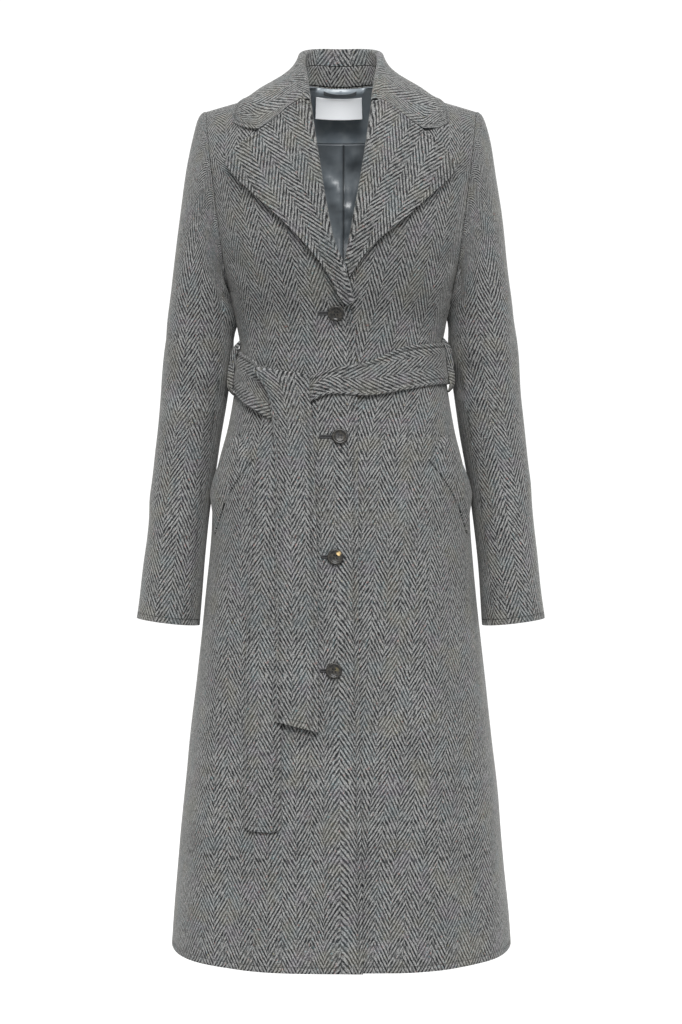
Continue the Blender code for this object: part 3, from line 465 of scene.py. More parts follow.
LINING_ROW = SKIRT_ROWS + WAIST_ROWS - 8
LINING_AIR = 0.0010
LINING_FREE_SIDE, LINING_FREE_FOOT, LINING_FREE_TOP = 0.10, 0.06, 0.93
LINING_WAVER_SIZE, LINING_WAVER = 0.045, 0.004
LINING_LOWEST = -0.0008  # how far its loose folds may sink towards the wool
YOKE_SEAM, YOKE_STEP, YOKE_STEP_WIDTH = -0.0554, 0.0006, 0.0016
PLEAT_X, PLEAT_DEPTH, PLEAT_WIDTH, PLEAT_START = 0.0035, 0.0035, 0.030, 0.02
SEAM_HALF_WIDTH, PLEAT_HALF_WIDTH = 0.0009, 0.00144
# How much paler the yoke above its seam is painted, as painted light against the shade it lies in, and the
# span below the seam over which that ends
YOKE_PAINTED_LIGHT, YOKE_SHADE_SPAN = 2.4, 0.002
LABEL_AIR, LABEL_WALL = 0.0025, 0.0006
LABEL_X, LABEL_WIDTH = -0.0030, 0.068
LABEL_TOP, LABEL_BOTTOM = 0.0030, -0.0245
LABEL_HANG = 0.45  # how much straighter than the back the label hangs
LABEL_COLUMNS, LABEL_ROWS, LABEL_RIM = 36, 16, 0.0002
HANGER_X, HANGER_HALF_LENGTH, HANGER_HEIGHT = -0.0013, 0.0245, 0.0045
HANGER_TOP, HANGER_SAG = 0.0105, 0.0025
HANGER_AIR, HANGER_WALL, HANGER_RIM = 0.0012, 0.0010, 0.0003
HANGER_COLUMNS, HANGER_ROWS = 40, 4

# --- Grain of the cloth ------------------------------------------------------------------------------------

COLUMN = 0.0182  # width of one run of slanted stripes
# The place across the front, by height, of one line where the slanted stripes meet in a peak
GRAIN = {
    RIGHT: table(
        "height line",
        (-1.130, 0.0012),
        (-0.940, -0.0012),
        (-0.690, -0.0050),
        (-0.480, -0.0100),
        (-0.320, -0.0130),
        (-0.240, -0.0250),
        (-0.105, -0.0478),
        (0.020, -0.0660),
    ),
    LEFT: table(
        "height line",
        (-1.130, 0.0040),
        (-0.940, 0.0185),
        (-0.817, 0.0285),
        (-0.694, 0.0386),
        (-0.589, 0.0440),
        (-0.476, 0.0541),
        (-0.348, 0.0827),
        (-0.236, 0.1111),
        (-0.105, 0.1300),
        (0.020, 0.1400),
    ),
}
GRAIN_BACK = table("height line", (-1.130, 0.0), (0.020, 0.0))
SLEEVE_GRAIN = {
    RIGHT: table("height line", (CUFF, 0.004), (0.0, 0.004)),
    LEFT: table("height line", (CUFF, -0.007), (SLEEVE_TOP, 0.009), (0.0, 0.009)),
}
OVER_SHOULDER = 0.19  # cloth from the yoke to the shoulder seam
LAPEL_GRAIN = math.radians(-26)
COLLAR_CURVE = math.radians(27)
COLLAR_EASE = 1.22  # how far the collar is steamed and stretched
COLLAR_PHASE, STAND_PHASE = 0.0317, 0.0128
BELT_PHASE, BELT_RIGHT_PHASE = 0.0154, 0.0
TAIL_WIDTH = {"upper": 0.0524, "lower": 0.0460}
TAIL_PHASE = {"upper": -0.0208, "lower": 0.0002}

# --- Soft folds --------------------------------------------------------------------------------------------

# Each from one place to another, how wide, and how far the cloth stands out there (in, below zero)
FOLDS_FRONT = {
    RIGHT: (
        (-0.150, -0.620, -0.176, -1.120, 0.018, 0.0028),
        (-0.122, -0.700, -0.136, -1.120, 0.015, -0.0024),
        (-0.078, -0.850, -0.086, -1.120, 0.015, 0.0016),
        (-0.168, -0.215, -0.128, -0.250, 0.008, -0.0018),
        (-0.160, -0.240, -0.115, -0.280, 0.010, 0.0022),
        (-0.128, -0.270, -0.118, -0.345, 0.010, 0.0014),
        (-0.104, -0.300, -0.100, -0.365, 0.007, -0.0014),
        (-0.086, -0.305, -0.086, -0.372, 0.007, 0.0012),
        (-0.060, -0.315, -0.062, -0.372, 0.007, -0.0011),
        (-0.118, -0.420, -0.128, -0.500, 0.009, 0.0014),
        (-0.098, -0.430, -0.104, -0.490, 0.007, -0.0012),
        (-0.134, -0.285, -0.134, -0.330, 0.020, 0.0020),
    ),
    LEFT: (
        (0.105, -0.600, 0.126, -1.120, 0.018, 0.0024),
        (0.146, -0.660, 0.172, -1.120, 0.016, -0.0024),
        (0.064, -0.780, 0.072, -1.120, 0.015, 0.0018),
        (0.024, -0.900, 0.026, -1.120, 0.012, -0.0010),
        (0.168, -0.215, 0.130, -0.245, 0.008, -0.0018),
        (0.160, -0.240, 0.118, -0.275, 0.010, 0.0022),
        (0.124, -0.265, 0.112, -0.345, 0.010, 0.0014),
        (0.098, -0.290, 0.092, -0.350, 0.007, -0.0012),
        (0.060, -0.300, 0.058, -0.355, 0.008, 0.0012),
        (0.110, -0.405, 0.120, -0.480, 0.009, 0.0014),
        (0.088, -0.415, 0.092, -0.480, 0.008, -0.0012),
        (0.134, -0.285, 0.134, -0.330, 0.020, 0.0020),
    ),
}
FOLDS_BACK = (
    (-0.150, -0.230, -0.080, -0.320, 0.014, 0.0022),
    (0.150, -0.225, 0.085, -0.320, 0.014, 0.0022),
    (-0.100, -0.300, -0.095, -0.365, 0.009, -0.0014),
    (0.105, -0.300, 0.098, -0.365, 0.009, -0.0014),
    (-0.050, -0.310, -0.052, -0.370, 0.008, 0.0014),
    (0.045, -0.315, 0.046, -0.370, 0.008, 0.0014),
    (-0.120, -0.600, -0.150, -1.120, 0.022, 0.0032),
    (0.115, -0.620, 0.148, -1.120, 0.022, 0.0030),
    (-0.060, -0.700, -0.072, -1.120, 0.020, -0.0024),
    (0.062, -0.680, 0.076, -1.120, 0.020, -0.0024),
)
# On a sleeve: round it from its front line, towards the body above zero, and the height
FOLDS_SLEEVE = (
    (0.020, -0.220, 0.075, -0.275, 0.009, -0.0022),
    (0.030, -0.250, 0.085, -0.305, 0.011, 0.0028),
    (-0.030, -0.345, 0.060, -0.362, 0.012, 0.0018),
    (-0.015, -0.385, 0.065, -0.392, 0.012, -0.0026),
    (-0.040, -0.420, 0.050, -0.412, 0.012, 0.0018),
    (-0.070, -0.300, -0.040, -0.360, 0.014, -0.0016),
    (-0.060, -0.520, 0.010, -0.560, 0.016, 0.0016),
    (0.010, -0.600, 0.050, -0.640, 0.016, -0.0016),
    (0.085, -0.250, 0.085, -0.301, 0.024, 0.0064),
)
FOLDS_LINING = (
    (-0.024, -0.100, 0.006, -0.126, 0.007, 0.006),
    (-0.016, -0.128, 0.016, -0.150, 0.007, 0.008),
    (0.022, -0.066, 0.012, -0.084, 0.008, 0.005),
    (0.024, -0.100, 0.010, -0.165, 0.007, 0.005),
    (-0.006, -0.150, 0.014, -0.176, 0.006, 0.006),
)

# --- Weave and finishes ------------------------------------------------------------------------------------

STRIPE_SLOPE = 1.73
STRIPE_PITCH = 0.0078
STRIPE_STEP = 0.4
WANDER = 0.0018  # how far the stripes stray
RAGGED = 0.50  # how uneven their edges are, in pitches
YARN_LENGTHS, YARN_WIDTHS = 300.0, 260.0  # slubs to a metre, along a stripe and up the cloth
SLUBS, FIBRES = 2.6, 0.42
WOOL_PALE = (0.144, 0.145, 0.143)
WOOL_DARK = (0.014, 0.015, 0.016)
WOOL_GAP = (0.004, 0.004, 0.005)
# Dyed fibres mixed into the yarn: colour, patches to a metre, where they start and are full, and how strong
TINTS = (
    ((0.088, 0.108, 0.114), 28.0, 0.52, 0.68, 0.30),
    ((0.112, 0.108, 0.088), 24.0, 0.52, 0.68, 0.35),
    ((0.108, 0.096, 0.112), 33.0, 0.55, 0.70, 0.30),
    ((0.180, 0.095, 0.085), 260.0, 0.66, 0.74, 0.45),
    ((0.070, 0.130, 0.140), 240.0, 0.66, 0.74, 0.40),
    ((0.150, 0.140, 0.060), 280.0, 0.68, 0.76, 0.35),
)
HORN_DARK, HORN_STREAK = (0.007, 0.007, 0.007), (0.030, 0.027, 0.022)
SATIN_DARK, SATIN_PALE = (0.066, 0.078, 0.088), (0.100, 0.115, 0.126)
# Painted shade along the lining's yoke seam and in its pleat's fold
SEAM_SHADE, PLEAT_SHADE = (0.012, 0.014, 0.016), (0.010, 0.012, 0.014)
LABEL_DARK, LABEL_PALE = (0.74, 0.76, 0.78), (0.80, 0.82, 0.84)
# Buttonhole thread: its own dark colour, and the paler colour painted at each stitch's middle as a painted
# highlight
THREAD_DARK, THREAD_LIT = (0.004, 0.004, 0.005), (0.030, 0.030, 0.032)
# Painted shade, near black, in the button's holes and the buttonhole's slit
PAINTED_SHADE_BLACK = (0.001, 0.001, 0.001)
# Patches to a metre
WANDER_SCALE, RAGGED_SCALE, FIBRE_SCALE, WORN_SCALE = 45.0, 700.0, 640.0, 18.0
SATIN_PATCHES, SATIN_GRAIN = 40.0, 1800.0
LABEL_PATCHES, LABEL_GRAIN = 900.0, 1600.0
HORN_GRAIN, HORN_PATCH_EDGE, HORN_WAVES = 260.0, 400.0, 500.0
# Where the stripe's wave turns pale, and where it turns to a gap
PALE_SPAN, GAP_SPAN = (0.16, 0.84), (0.16, -0.30)
# How patches of fibre and of wear change the tone
FIBRE_SPAN, WORN_SPAN, WORN_TONE = (0.36, 0.64), (0.3, 0.7), (0.93, 1.07)
TINT_ON_WAVE = (0.2, 0.8, 0.45, 1.2)
TINT_SHIFT = (7.3, 3.1)  # sets each tint's patches apart from the last one's
# Depth of each finish's fine form
WOOL_NAP, SATIN_DEPTH, LABEL_DEPTH, HORN_DEPTH, THREAD_DEPTH = 0.0007, 0.0008, 0.0002, 0.0008, 0.0004

EDGE_STITCH = 0.0065  # from the edge to the row of stitches
STITCH_HALF_WIDTH, STITCH_LENGTH = 0.0012, 0.0034
EDGE_DEPTH, EDGE_FLAT = 0.0015, 0.35  # depth of the edge's roll, and the share of it that is level
STITCH_SLACK = 0.6  # depth between stitches beside that in the middle of one

# --- Studio ------------------------------------------------------------------------------------------------

FLOOR_HEIGHT, FLOOR_RADIUS = -2.4, 9.0
FLOOR_GREY = (0.46, 0.46, 0.46)
WORLD_STRENGTH = 1.1
# Lights: strength, spread, height and turn in degrees from the front
LIGHTS = (
    ("key_light", 5.0, 30.0, 44.0, 4.0),
    ("back_light", 2.2, 40.0, 20.0, 180.0),
)
CAMERA_PLACE = (0.0, -2.4, -0.560)
LENS, SENSOR = 63.9, 36.0


# --- Numbers -----------------------------------------------------------------------------------------------


def blend(first, second, share):
    return first + (second - first) * share


def ease(start, end, at):
    """0 at start, 1 at end and beyond, with level ends. Start may be above end."""
    t = min(max((at - start) / (end - start), 0.0), 1.0)
    return t * t * (3 - 2 * t)


def bell(off, width):
    """1 at nothing, fading to 0 over a few widths."""
    return math.exp(-((off / width) ** 2))


def signed_power(value, power):
    return math.copysign(abs(value) ** power, value)


def curve(start, end, leave, arrive, t):
    """A smooth curve from start to end, by how it leaves the one and arrives at the other."""
    return (
        start * (1 + 2 * t) * (1 - t) ** 2
        + end * t * t * (3 - 2 * t)
        + leave * t * (1 - t) ** 2
        + arrive * t * t * (t - 1)
    )


def read(rows, column, at):
    """The column's value at one key, on a smooth curve through the rows, held level past either end."""
    keys, values = next(iter(rows.values())), rows[column]
    last = len(keys) - 1
    at = min(max(at, keys[0]), keys[last])
    low = max(i for i in range(last) if keys[i] <= at)
    step = keys[low + 1] - keys[low]

    def slope(i):
        before, after = max(i - 1, 0), min(i + 1, last)
        return (values[after] - values[before]) / (keys[after] - keys[before])

    ends = values[low], values[low + 1]
    return curve(*ends, step * slope(low), step * slope(low + 1), (at - keys[low]) / step)


def read_place(rows, columns, at):
    """Several columns at one key, as the place that they give."""
    return Vector([read(rows, column, at) for column in columns.split()])


def run_of(points):
    """How far along a line of points each of them lies."""
    total = [0.0]
    for before, after in zip(points, points[1:]):
        total.append(total[-1] + (after - before).length)
    return total


def between(values, place):
    """The value at a place part of the way along a list."""
    low = min(max(int(place), 0), len(values) - 2)
    return blend(values[low], values[low + 1], place - low)


# --- Body form ---------------------------------------------------------------------------------------------


def shoulder_height(x):
    """Height of the shoulder seam's line, straight to the arm and rising to the neck."""
    rise = max(1 - (x / NECK_RISE_WIDTH) ** 2, 0.0)
    return SHOULDER_AT_CENTRE - SHOULDER_SLOPE * math.hypot(x, NECK_ROUND) + NECK_RISE * rise * rise


def nominal_height(level):
    """Height that the body tables are read at. A level is metres below the yoke while negative, and above it
    the share of the quarter turn that takes the cloth over the shoulder."""
    return YOKE + (level if level <= 0 else (NOMINAL_TOP - YOKE) * math.sin(level * QUARTER))


@lru_cache(maxsize=None)
def body_size(height):
    """Half width, front depth, back depth and squareness of the body form at a height."""
    return [read(BODY, column, height) for column in list(BODY)[1:]]


def flute(angle, height):
    """Soft standing folds of the skirt, which deepen towards the hem."""
    fall = ease(FLUTE_TOP, HEM, height)
    wave = sum(share * math.cos(count * angle + start) for count, start, share in FLUTES)
    return FLUTE_DEPTH * fall * wave * math.sin(angle) ** 2


def body_point(side, angle, level):
    """A point of the body form. The angle runs from the centre of that side to the side seam, a quarter turn
    away, with its sign towards the wearer's left."""
    height = nominal_height(level)
    over = max(level, 0.0) * QUARTER
    half_width, front_depth, back_depth, squareness = body_size(height)
    power = 2 / squareness
    fold = flute(abs(angle), height)
    width = half_width + fold * abs(math.cos(angle))
    depth = (front_depth if side == FRONT else back_depth) + fold
    x = width * signed_power(math.sin(angle), power)
    y = side * depth * signed_power(math.cos(angle), power) * math.cos(over)
    if level > 0:
        height = YOKE + (shoulder_height(x) - YOKE) * math.sin(over)
    return Vector((x, y, height))


def angle_at(x, level):
    """Angle at which the body form is x from the centre."""
    half_width, _, _, squareness = body_size(nominal_height(level))
    share = min(abs(x) / half_width, 1.0)
    return math.copysign(math.asin(share ** (squareness / 2)), x)


def level_at(x, height):
    if height <= YOKE:
        return height - YOKE
    return math.asin(min((height - YOKE) / (shoulder_height(x) - YOKE), 1.0)) / QUARTER


def body_frame(side, angle, level):
    """Point and outward direction of the body form."""
    reach = 0.004
    across = body_point(side, angle + reach, level) - body_point(side, angle - reach, level)
    up = body_point(side, angle, level + reach) - body_point(side, angle, level - reach)
    return body_point(side, angle, level), (across.cross(up) * -side).normalized()


def short_turn(turn):
    """The same turn in degrees, between a half turn to the right and one to the left."""
    return (turn + 180) % 360 - 180


def ring_frame(turn, height):
    """Point and outward direction at a turn in degrees round the body, from the centre front."""
    turn = short_turn(turn)
    if abs(turn) <= 90:
        return body_frame(FRONT, math.radians(turn), height - YOKE)
    return body_frame(BACK, math.copysign(math.radians(180 - abs(turn)), turn), height - YOKE)


def hem_curve(angle, level):
    """A level of the body with the rise of the hem towards the side seams."""
    return level + HEM_RISE * math.sin(angle) ** 2 * ease(HEM_CURVE_TOP, HEM, YOKE + level)


def shape_over(x, y):
    """Side, angle and level of the body form straight above or below a point near the shoulders."""
    side = FRONT if y < 0 else BACK
    level, rounds, least_reach = 0.7, 12, 1e-4
    for _ in range(rounds):
        _, front_depth, back_depth, squareness = body_size(nominal_height(level))
        angle = angle_at(x, level)
        reach = (front_depth if side == FRONT else back_depth) * math.cos(angle) ** (2 / squareness)
        level = math.acos(min(abs(y) / max(reach, least_reach), 1.0)) / QUARTER
    return side, angle, level


def rest_on_body(point, lift):
    """Raises a point to lie at least that high over the body form, with a soft start."""
    surface, normal = body_frame(*shape_over(point.x, point.y))
    over = (point - surface).dot(normal) - lift
    return point + normal * ((over + math.hypot(over, REST_SOFTNESS)) / 2 - over)


def armhole_height(share):
    """Heights down the armhole, close together at its top and bottom, where it is round."""
    middle, half = (ARMHOLE_TOP + ARMHOLE_BOTTOM) / 2, (ARMHOLE_TOP - ARMHOLE_BOTTOM) / 2
    return middle + half * math.cos(math.pi * share)


def armhole_x(height):
    return ARMHOLE_X + ARMHOLE_LEAN * height


def armhole_level(height):
    return level_at(armhole_x(height), height)


def row_levels():
    """Levels of the rows of a body panel, from the hem to the shoulder seam, with the armhole's x or None."""
    rows = [(HEM + (SKIRT_TOP - HEM) * i / SKIRT_ROWS - YOKE, None) for i in range(SKIRT_ROWS)]
    rise = (ARMHOLE_BOTTOM - SKIRT_TOP) / WAIST_ROWS
    rows += [(SKIRT_TOP + rise * i - YOKE, None) for i in range(WAIST_ROWS)]
    for i in range(ARMHOLE_ROWS + 1):
        height = armhole_height(1 - i / ARMHOLE_ROWS)
        rows.append((armhole_level(height), armhole_x(height)))
    return rows


PANEL_ROWS = row_levels()


def outer_angle(row, level):
    """Angle of the side seam, or of the armhole above it."""
    return QUARTER if PANEL_ROWS[row][1] is None else angle_at(PANEL_ROWS[row][1], level)


def back_neck_level(x):
    """Level of the back neckline, or of the shoulder seam beyond it."""
    return BACK_NECK_LEVEL + (1 - BACK_NECK_LEVEL) * min(abs(x) / NECK_X, 1.0) ** 2


# --- Making cloth ------------------------------------------------------------------------------------------


def faced(surface):
    """Gives a surface of points its outward directions as well."""
    reach = 0.002

    def frame(across, up):
        left, right = max(across - reach, 0.0), min(across + reach, 1.0)
        low, high = max(up - reach, 0.0), min(up + reach, 1.0)
        over = surface(right, up) - surface(left, up)
        along = surface(across, high) - surface(across, low)
        return surface(across, up), over.cross(along).normalized()

    return frame


def seam_allowance(frame, across, up):
    """Moves the points of an edge back by half a seam gap, along the cloth."""
    if across not in (0.0, 1.0) and up not in (0.0, 1.0):
        return Vector()
    reach = 0.01
    shift = Vector()
    here = frame(across, up)[0]
    if across in (0.0, 1.0):
        shift += (frame(abs(across - reach), up)[0] - here).normalized()
    if up in (0.0, 1.0):
        shift += (frame(across, abs(up - reach))[0] - here).normalized()
    return shift * SEAM_GAP / 2


def crease(marks, x, z):
    """Depth of the soft folds of a piece at a place on it: each runs from one point to another and fades."""
    depth = 0.0
    for x0, z0, x1, z1, width, rise in marks:
        along = Vector((x1 - x0, z1 - z0))
        away = Vector((x - x0, z - z0))
        t = away.dot(along) / along.length_squared
        if -FOLD_FADE < t < 1 + FOLD_FADE:
            off = (away - along * t).length / width
            if off < FOLD_REACH:
                fade = ease(-FOLD_FADE, FOLD_FADE, t) * ease(1 + FOLD_FADE, 1 - FOLD_FADE, t)
                depth += rise * bell(off, 1) * fade
    return depth


def waver(point, size, depth, seed=0.0):
    """Slow unevenness of soft cloth."""
    return depth * noise.noise(point / size + Vector((seed, seed, seed)))


def margins(laid, columns, rows, edges):
    """How far each place of a piece lies in from its nearest finished edge, and how far along that edge."""
    points = [[laid[i, j][0] for i in range(columns + 1)] for j in range(rows + 1)]
    over = [run_of(row) for row in points]
    along = [run_of([row[i] for row in points]) for i in range(columns + 1)]
    found = {}
    for i, j in laid:
        ways = {
            "left": (over[j][i], along[i][j]),
            "right": (over[j][-1] - over[j][i], along[i][j]),
            "low": (along[i][j], over[j][i]),
            "high": (along[i][-1] - along[i][j], over[j][i]),
        }
        found[i, j] = min([ways[edge] for edge in edges] + [(NO_EDGE, 0.0)])
    return found


def cloth(
    name, columns, rows, frame, weave, outer=0.0, inner=-WALL, relief=None, lined=None, rim=EDGE_ROUND,
    edges=(),
):
    """A piece of cloth with a wall, laid over frame(across, up) -> point, outward direction.

    weave(across, up, point) gives the place on the flat cloth, in metres across and along its grain. relief
    gives how far the cloth stands out or in. lined(across, up) says whether its inner face is lined. edges
    names the sides that are turned in and stitched. inner may change over the piece."""
    bm = bmesh.new()
    bmesh.ops.create_grid(bm, x_segments=columns, y_segments=rows, size=0.5)
    wall = bmesh.ops.extrude_face_region(bm, geom=bm.faces[:], use_keep_orig=True)
    inside = {item for item in wall["geom"] if isinstance(item, bmesh.types.BMVert)}
    laid, places = {}, {}
    for vert in bm.verts:
        i, j = round((vert.co.x + 0.5) * columns), round((vert.co.y + 0.5) * rows)
        across, up = i / columns, j / rows
        places[vert] = i, j
        if (i, j) not in laid:
            point, normal = frame(across, up)
            flat = weave(across, up, point)
            lift = relief(across, up, point) if relief else 0.0
            depth = inner(across, up) if callable(inner) else inner
            laid[i, j] = point + seam_allowance(frame, across, up) + normal * lift, normal, flat, depth
        point, normal, _, depth = laid[i, j]
        vert.co = point + normal * (depth if vert in inside else outer)
    bmesh.ops.recalc_face_normals(bm, faces=bm.faces[:])
    if bm.calc_volume(signed=True) < 0:
        bmesh.ops.reverse_faces(bm, faces=bm.faces[:])
    found = margins(laid, columns, rows, edges)
    if rim:
        weigh_edges(bm, places, found)
    chart = bm.loops.layers.uv.new("weave")
    margin = bm.loops.layers.uv.new("margin")
    for face in bm.faces:
        face.smooth = True
        if lined and all(vert in inside for vert in face.verts):
            across = sum(places[vert][0] for vert in face.verts) / len(face.verts) / columns
            up = sum(places[vert][1] for vert in face.verts) / len(face.verts) / rows
            face.material_index = int(lined(across, up))
        for loop in face.loops:
            loop[chart].uv = laid[places[loop.vert]][2]
            loop[margin].uv = found[places[loop.vert]]
    return add_piece(name, bm, rim)


def weigh_edges(bm, places, found):
    """Says how much of the rim's round each sharp edge gets: all on a finished edge, less in a seam."""
    nothing = 1e-9
    weights = bm.edges.layers.float.new("bevel_weight_edge")
    for edge in bm.edges:
        if edge.calc_face_angle(0.0) > RIM_ANGLE:
            finished = all(found[places[vert]][0] < nothing for vert in edge.verts)
            edge[weights] = 1.0 if finished else SEAM_ROUND


def add_piece(name, bm, rim=0.0, everywhere=False):
    """Makes a mesh an object, with its edges rounded: those with a weight, or every sharp one."""
    mesh = bpy.data.meshes.new(name)
    bm.to_mesh(mesh)
    bm.free()
    piece = bpy.data.objects.new(name, mesh)
    bpy.context.scene.collection.objects.link(piece)
    if rim:
        edge = piece.modifiers.new("rim", "BEVEL")
        edge.width, edge.segments, edge.profile = rim, RIM_SEGMENTS, 0.5
        edge.limit_method, edge.angle_limit = "ANGLE" if everywhere else "WEIGHT", RIM_ANGLE
        edge.use_clamp_overlap = True
    return piece


# --- Grain -------------------------------------------------------------------------------------------------


@lru_cache(maxsize=None)
def girth(side, level):
    """Length of cloth round one side of the body from its middle, at even steps of the angle."""
    steps = 40
    lengths = run_of([body_point(side, QUARTER * (2 * i / steps - 1), level) for i in range(steps + 1)])
    return [length - lengths[steps // 2] for length in lengths]


def around(side, angle, level):
    """Length of cloth from the middle of that side to an angle."""
    lengths = girth(side, round(level, 3))
    return between(lengths, (angle / QUARTER + 1) / 2 * (len(lengths) - 1))


def body_weave(side, grain, angle, level):
    """Place on the flat cloth of a front or back, measured round the body from one line of its grain."""
    height = max(min(YOKE + level, 0.0), HEM)
    line = angle_at(read(grain, "line", height), level)
    along = level if level <= 0 else level * OVER_SHOULDER
    return around(side, angle, level) - around(side, line, level) + COLUMN, along


# --- Fronts and back ---------------------------------------------------------------------------------------


def panel_row(up):
    """The panel's row at or below a share of its rows, how far the share is past it, and the level there."""
    place = up * (len(PANEL_ROWS) - 1)
    row = min(int(place), len(PANEL_ROWS) - 2)
    part = place - row
    level = PANEL_ROWS[row][0] * (1 - part) + PANEL_ROWS[row + 1][0] * part
    return row, part, level


def side_angle(up):
    row, part, level = panel_row(up)
    return outer_angle(row, level) * (1 - part) + outer_angle(row + 1, level) * part


def underlap(wearer, out, height):
    """How far the left front lies in, under the right one."""
    if wearer == RIGHT:
        return 0.0
    return UNDERLAP * ease(*UNDERLAP_OUT, out) * ease(*UNDERLAP_HEIGHT, height)


def free_cloth(angle, point, level):
    """How freely cloth moves: held at the side seam, armhole and shoulder, and under the collar and belt."""
    free = ease(*FREE_SIDE, abs(angle)) * ease(*FREE_SHOULDER, level) * ease(*FREE_COLLAR, point.z)
    if point.z > ARMHOLE_BOTTOM:
        free *= ease(*FREE_ARMHOLE, armhole_x(point.z) - abs(point.x))
    return free * (1 - BELT_HOLD * bell(point.z - BELT_HEIGHT, BELT_HOLD_SPAN))


def front_relief(wearer, angle, level, point):
    """Folds and unevenness of a front, and the thick turned edge of the one that laps over."""
    fold = crease(FOLDS_FRONT[wearer], point.x, point.z) + waver(point, WAVER_SIZE, WAVER_DEPTH, seed=wearer)
    lap = 0.0
    if wearer == RIGHT:
        inward = point.x + read(FRONT_EDGE, "right", point.z - YOKE)
        lap = LAP_PUFF * ease(*LAP_PUFF_IN, inward) * ease(*LAP_PUFF_HEIGHT, point.z)
    return fold * free_cloth(angle, point, level) + lap


def back_relief(angle, level, point):
    """Folds and unevenness of the back, and the dip of its centre seam."""
    fold = crease(FOLDS_BACK, point.x, point.z) + waver(point, WAVER_SIZE, WAVER_DEPTH, seed=5.0)
    seam = CENTRE_SEAM * bell(point.x, CENTRE_SEAM_WIDTH) * ease(*FREE_SHOULDER, level)
    return fold * free_cloth(angle, point, level) - seam


def front_frame(wearer, angle, level):
    level = hem_curve(angle, level)
    point, normal = body_frame(FRONT, wearer * angle, level)
    lift = front_relief(wearer, angle, level, point) - underlap(wearer, wearer * point.x, point.z)
    return point + normal * lift, normal


def cloth_ring(turn, height):
    """Point and outward direction on the worn cloth, at a turn in degrees round the body."""
    turn = short_turn(turn)
    point, normal = ring_frame(turn, height)
    level = height - YOKE
    if abs(turn) <= 90:
        lift = front_relief(math.copysign(1, turn), math.radians(abs(turn)), level, point)
    else:
        lift = back_relief(math.radians(180 - abs(turn)), level, point)
    return point + normal * lift, normal


def front_at(wearer, out, height):
    """Point and outward direction on a front, by how far out from the centre and how high it is."""
    level = level_at(out, height)
    return front_frame(wearer, angle_at(out, level), level)


def make_front(wearer):
    side = SIDES[wearer]

    def place(across, up):
        level = panel_row(up)[2]
        inner = angle_at(read(FRONT_EDGE, side, level), level)
        return blend(inner, side_angle(up), across), level

    def frame(across, up):
        return front_frame(wearer, *place(across, up))

    def weave(across, up, point):
        angle, level = place(across, up)
        return body_weave(FRONT, GRAIN[wearer], wearer * angle, level)

    def lined(across, up):
        return across > LINED_FROM and up > LINED_HEM

    return cloth(
        f"front_{side}_cloth", FRONT_COLUMNS, len(PANEL_ROWS) - 1, frame, weave, lined=lined,
        edges=("left", "low"),
    )


def back_spread(share):
    """Spaces the back's columns so that one of them meets the corner of the neck."""
    neck = angle_at(NECK_X, 1.0) / outer_angle(-1, 1.0)
    return signed_power(share, math.log(neck) / math.log(2 * NECK_COLUMN / BACK_COLUMNS))


def back_place(across, up):
    level = panel_row(up)[2]
    angle = side_angle(up) * back_spread(2 * across - 1)
    if level > 0:
        level *= back_neck_level(body_point(BACK, angle, level).x)
    return angle, level


def back_frame(across, up):
    angle, level = back_place(across, up)
    return body_frame(BACK, angle, hem_curve(angle, level))


def make_back():
    def weave(across, up, point):
        u, v = body_weave(BACK, GRAIN_BACK, *back_place(across, up))
        return abs(u), v

    def relief(across, up, point):
        return back_relief(*back_place(across, up), point)

    return cloth(
        "back_cloth", BACK_COLUMNS, len(PANEL_ROWS) - 1, back_frame, weave, relief=relief,
        lined=lambda across, up: up > LINED_HEM, edges=("low",),
    )


# --- Sleeves -----------------------------------------------------------------------------------------------


@lru_cache(maxsize=None)
def armhole_point(angle):
    """The armhole on the wearer's left: the angle is 0 at the shoulder, positive down the front."""
    height = armhole_height(abs(angle) / math.pi)
    level = armhole_level(height)
    side = FRONT if angle >= 0 else BACK
    return body_point(side, angle_at(armhole_x(height), level), level)


@lru_cache(maxsize=None)
def sleeve_size(height):
    return [read(SLEEVE, column, height) for column in list(SLEEVE)[1:]]


def sleeve_ring(angle, height):
    """A point of the sleeve below its cap."""
    power = 2 / SLEEVE_SQUARENESS
    centre_x, centre_y, half_width, half_depth = sleeve_size(height)
    out = half_width * signed_power(math.cos(angle), power)
    y = centre_y - half_depth * signed_power(math.sin(angle), power)
    tilt = CUFF_TILT * ease(SLEEVE_TOP, CUFF, height)
    return Vector((centre_x + out, y, height + tilt * out))


def crown(angle):
    """1 at the shoulder, 0 under the arm."""
    return (1 + math.cos(angle)) / 2


def cap_point(angle, share):
    """A point of the cap, which leaves the armhole outwards and comes down into the sleeve."""
    reach = 0.01
    start = armhole_point(angle) + Vector((CAP_GAP, 0, 0))
    end = sleeve_ring(angle, SLEEVE_TOP)
    leave = Vector((CAP_REACH * blend(CAP_UNDER, 1.0, crown(angle)), 0, CAP_FALL))
    below = sleeve_ring(angle, SLEEVE_TOP - reach) - end
    arrive = below * (CAP_DROP * (end.z - start.z) / below.z)
    return curve(start, end, leave, arrive, share)


def sleeve_point(angle, along):
    if along <= 1:
        return cap_point(angle, along)
    return sleeve_ring(angle, blend(SLEEVE_TOP, CUFF, along - 1))


@lru_cache(maxsize=None)
def sleeve_girth(along):
    """Length of cloth round the sleeve at one place along it, from its front line, at steps of the angle."""
    steps = 96
    lengths = run_of([sleeve_point(2 * math.pi * i / steps - QUARTER, along) for i in range(steps + 1)])
    return [length - lengths[steps // 2] for length in lengths]


@lru_cache(maxsize=None)
def cap_length(angle):
    steps = 8
    return run_of([cap_point(angle, i / steps) for i in range(steps + 1)])[-1]


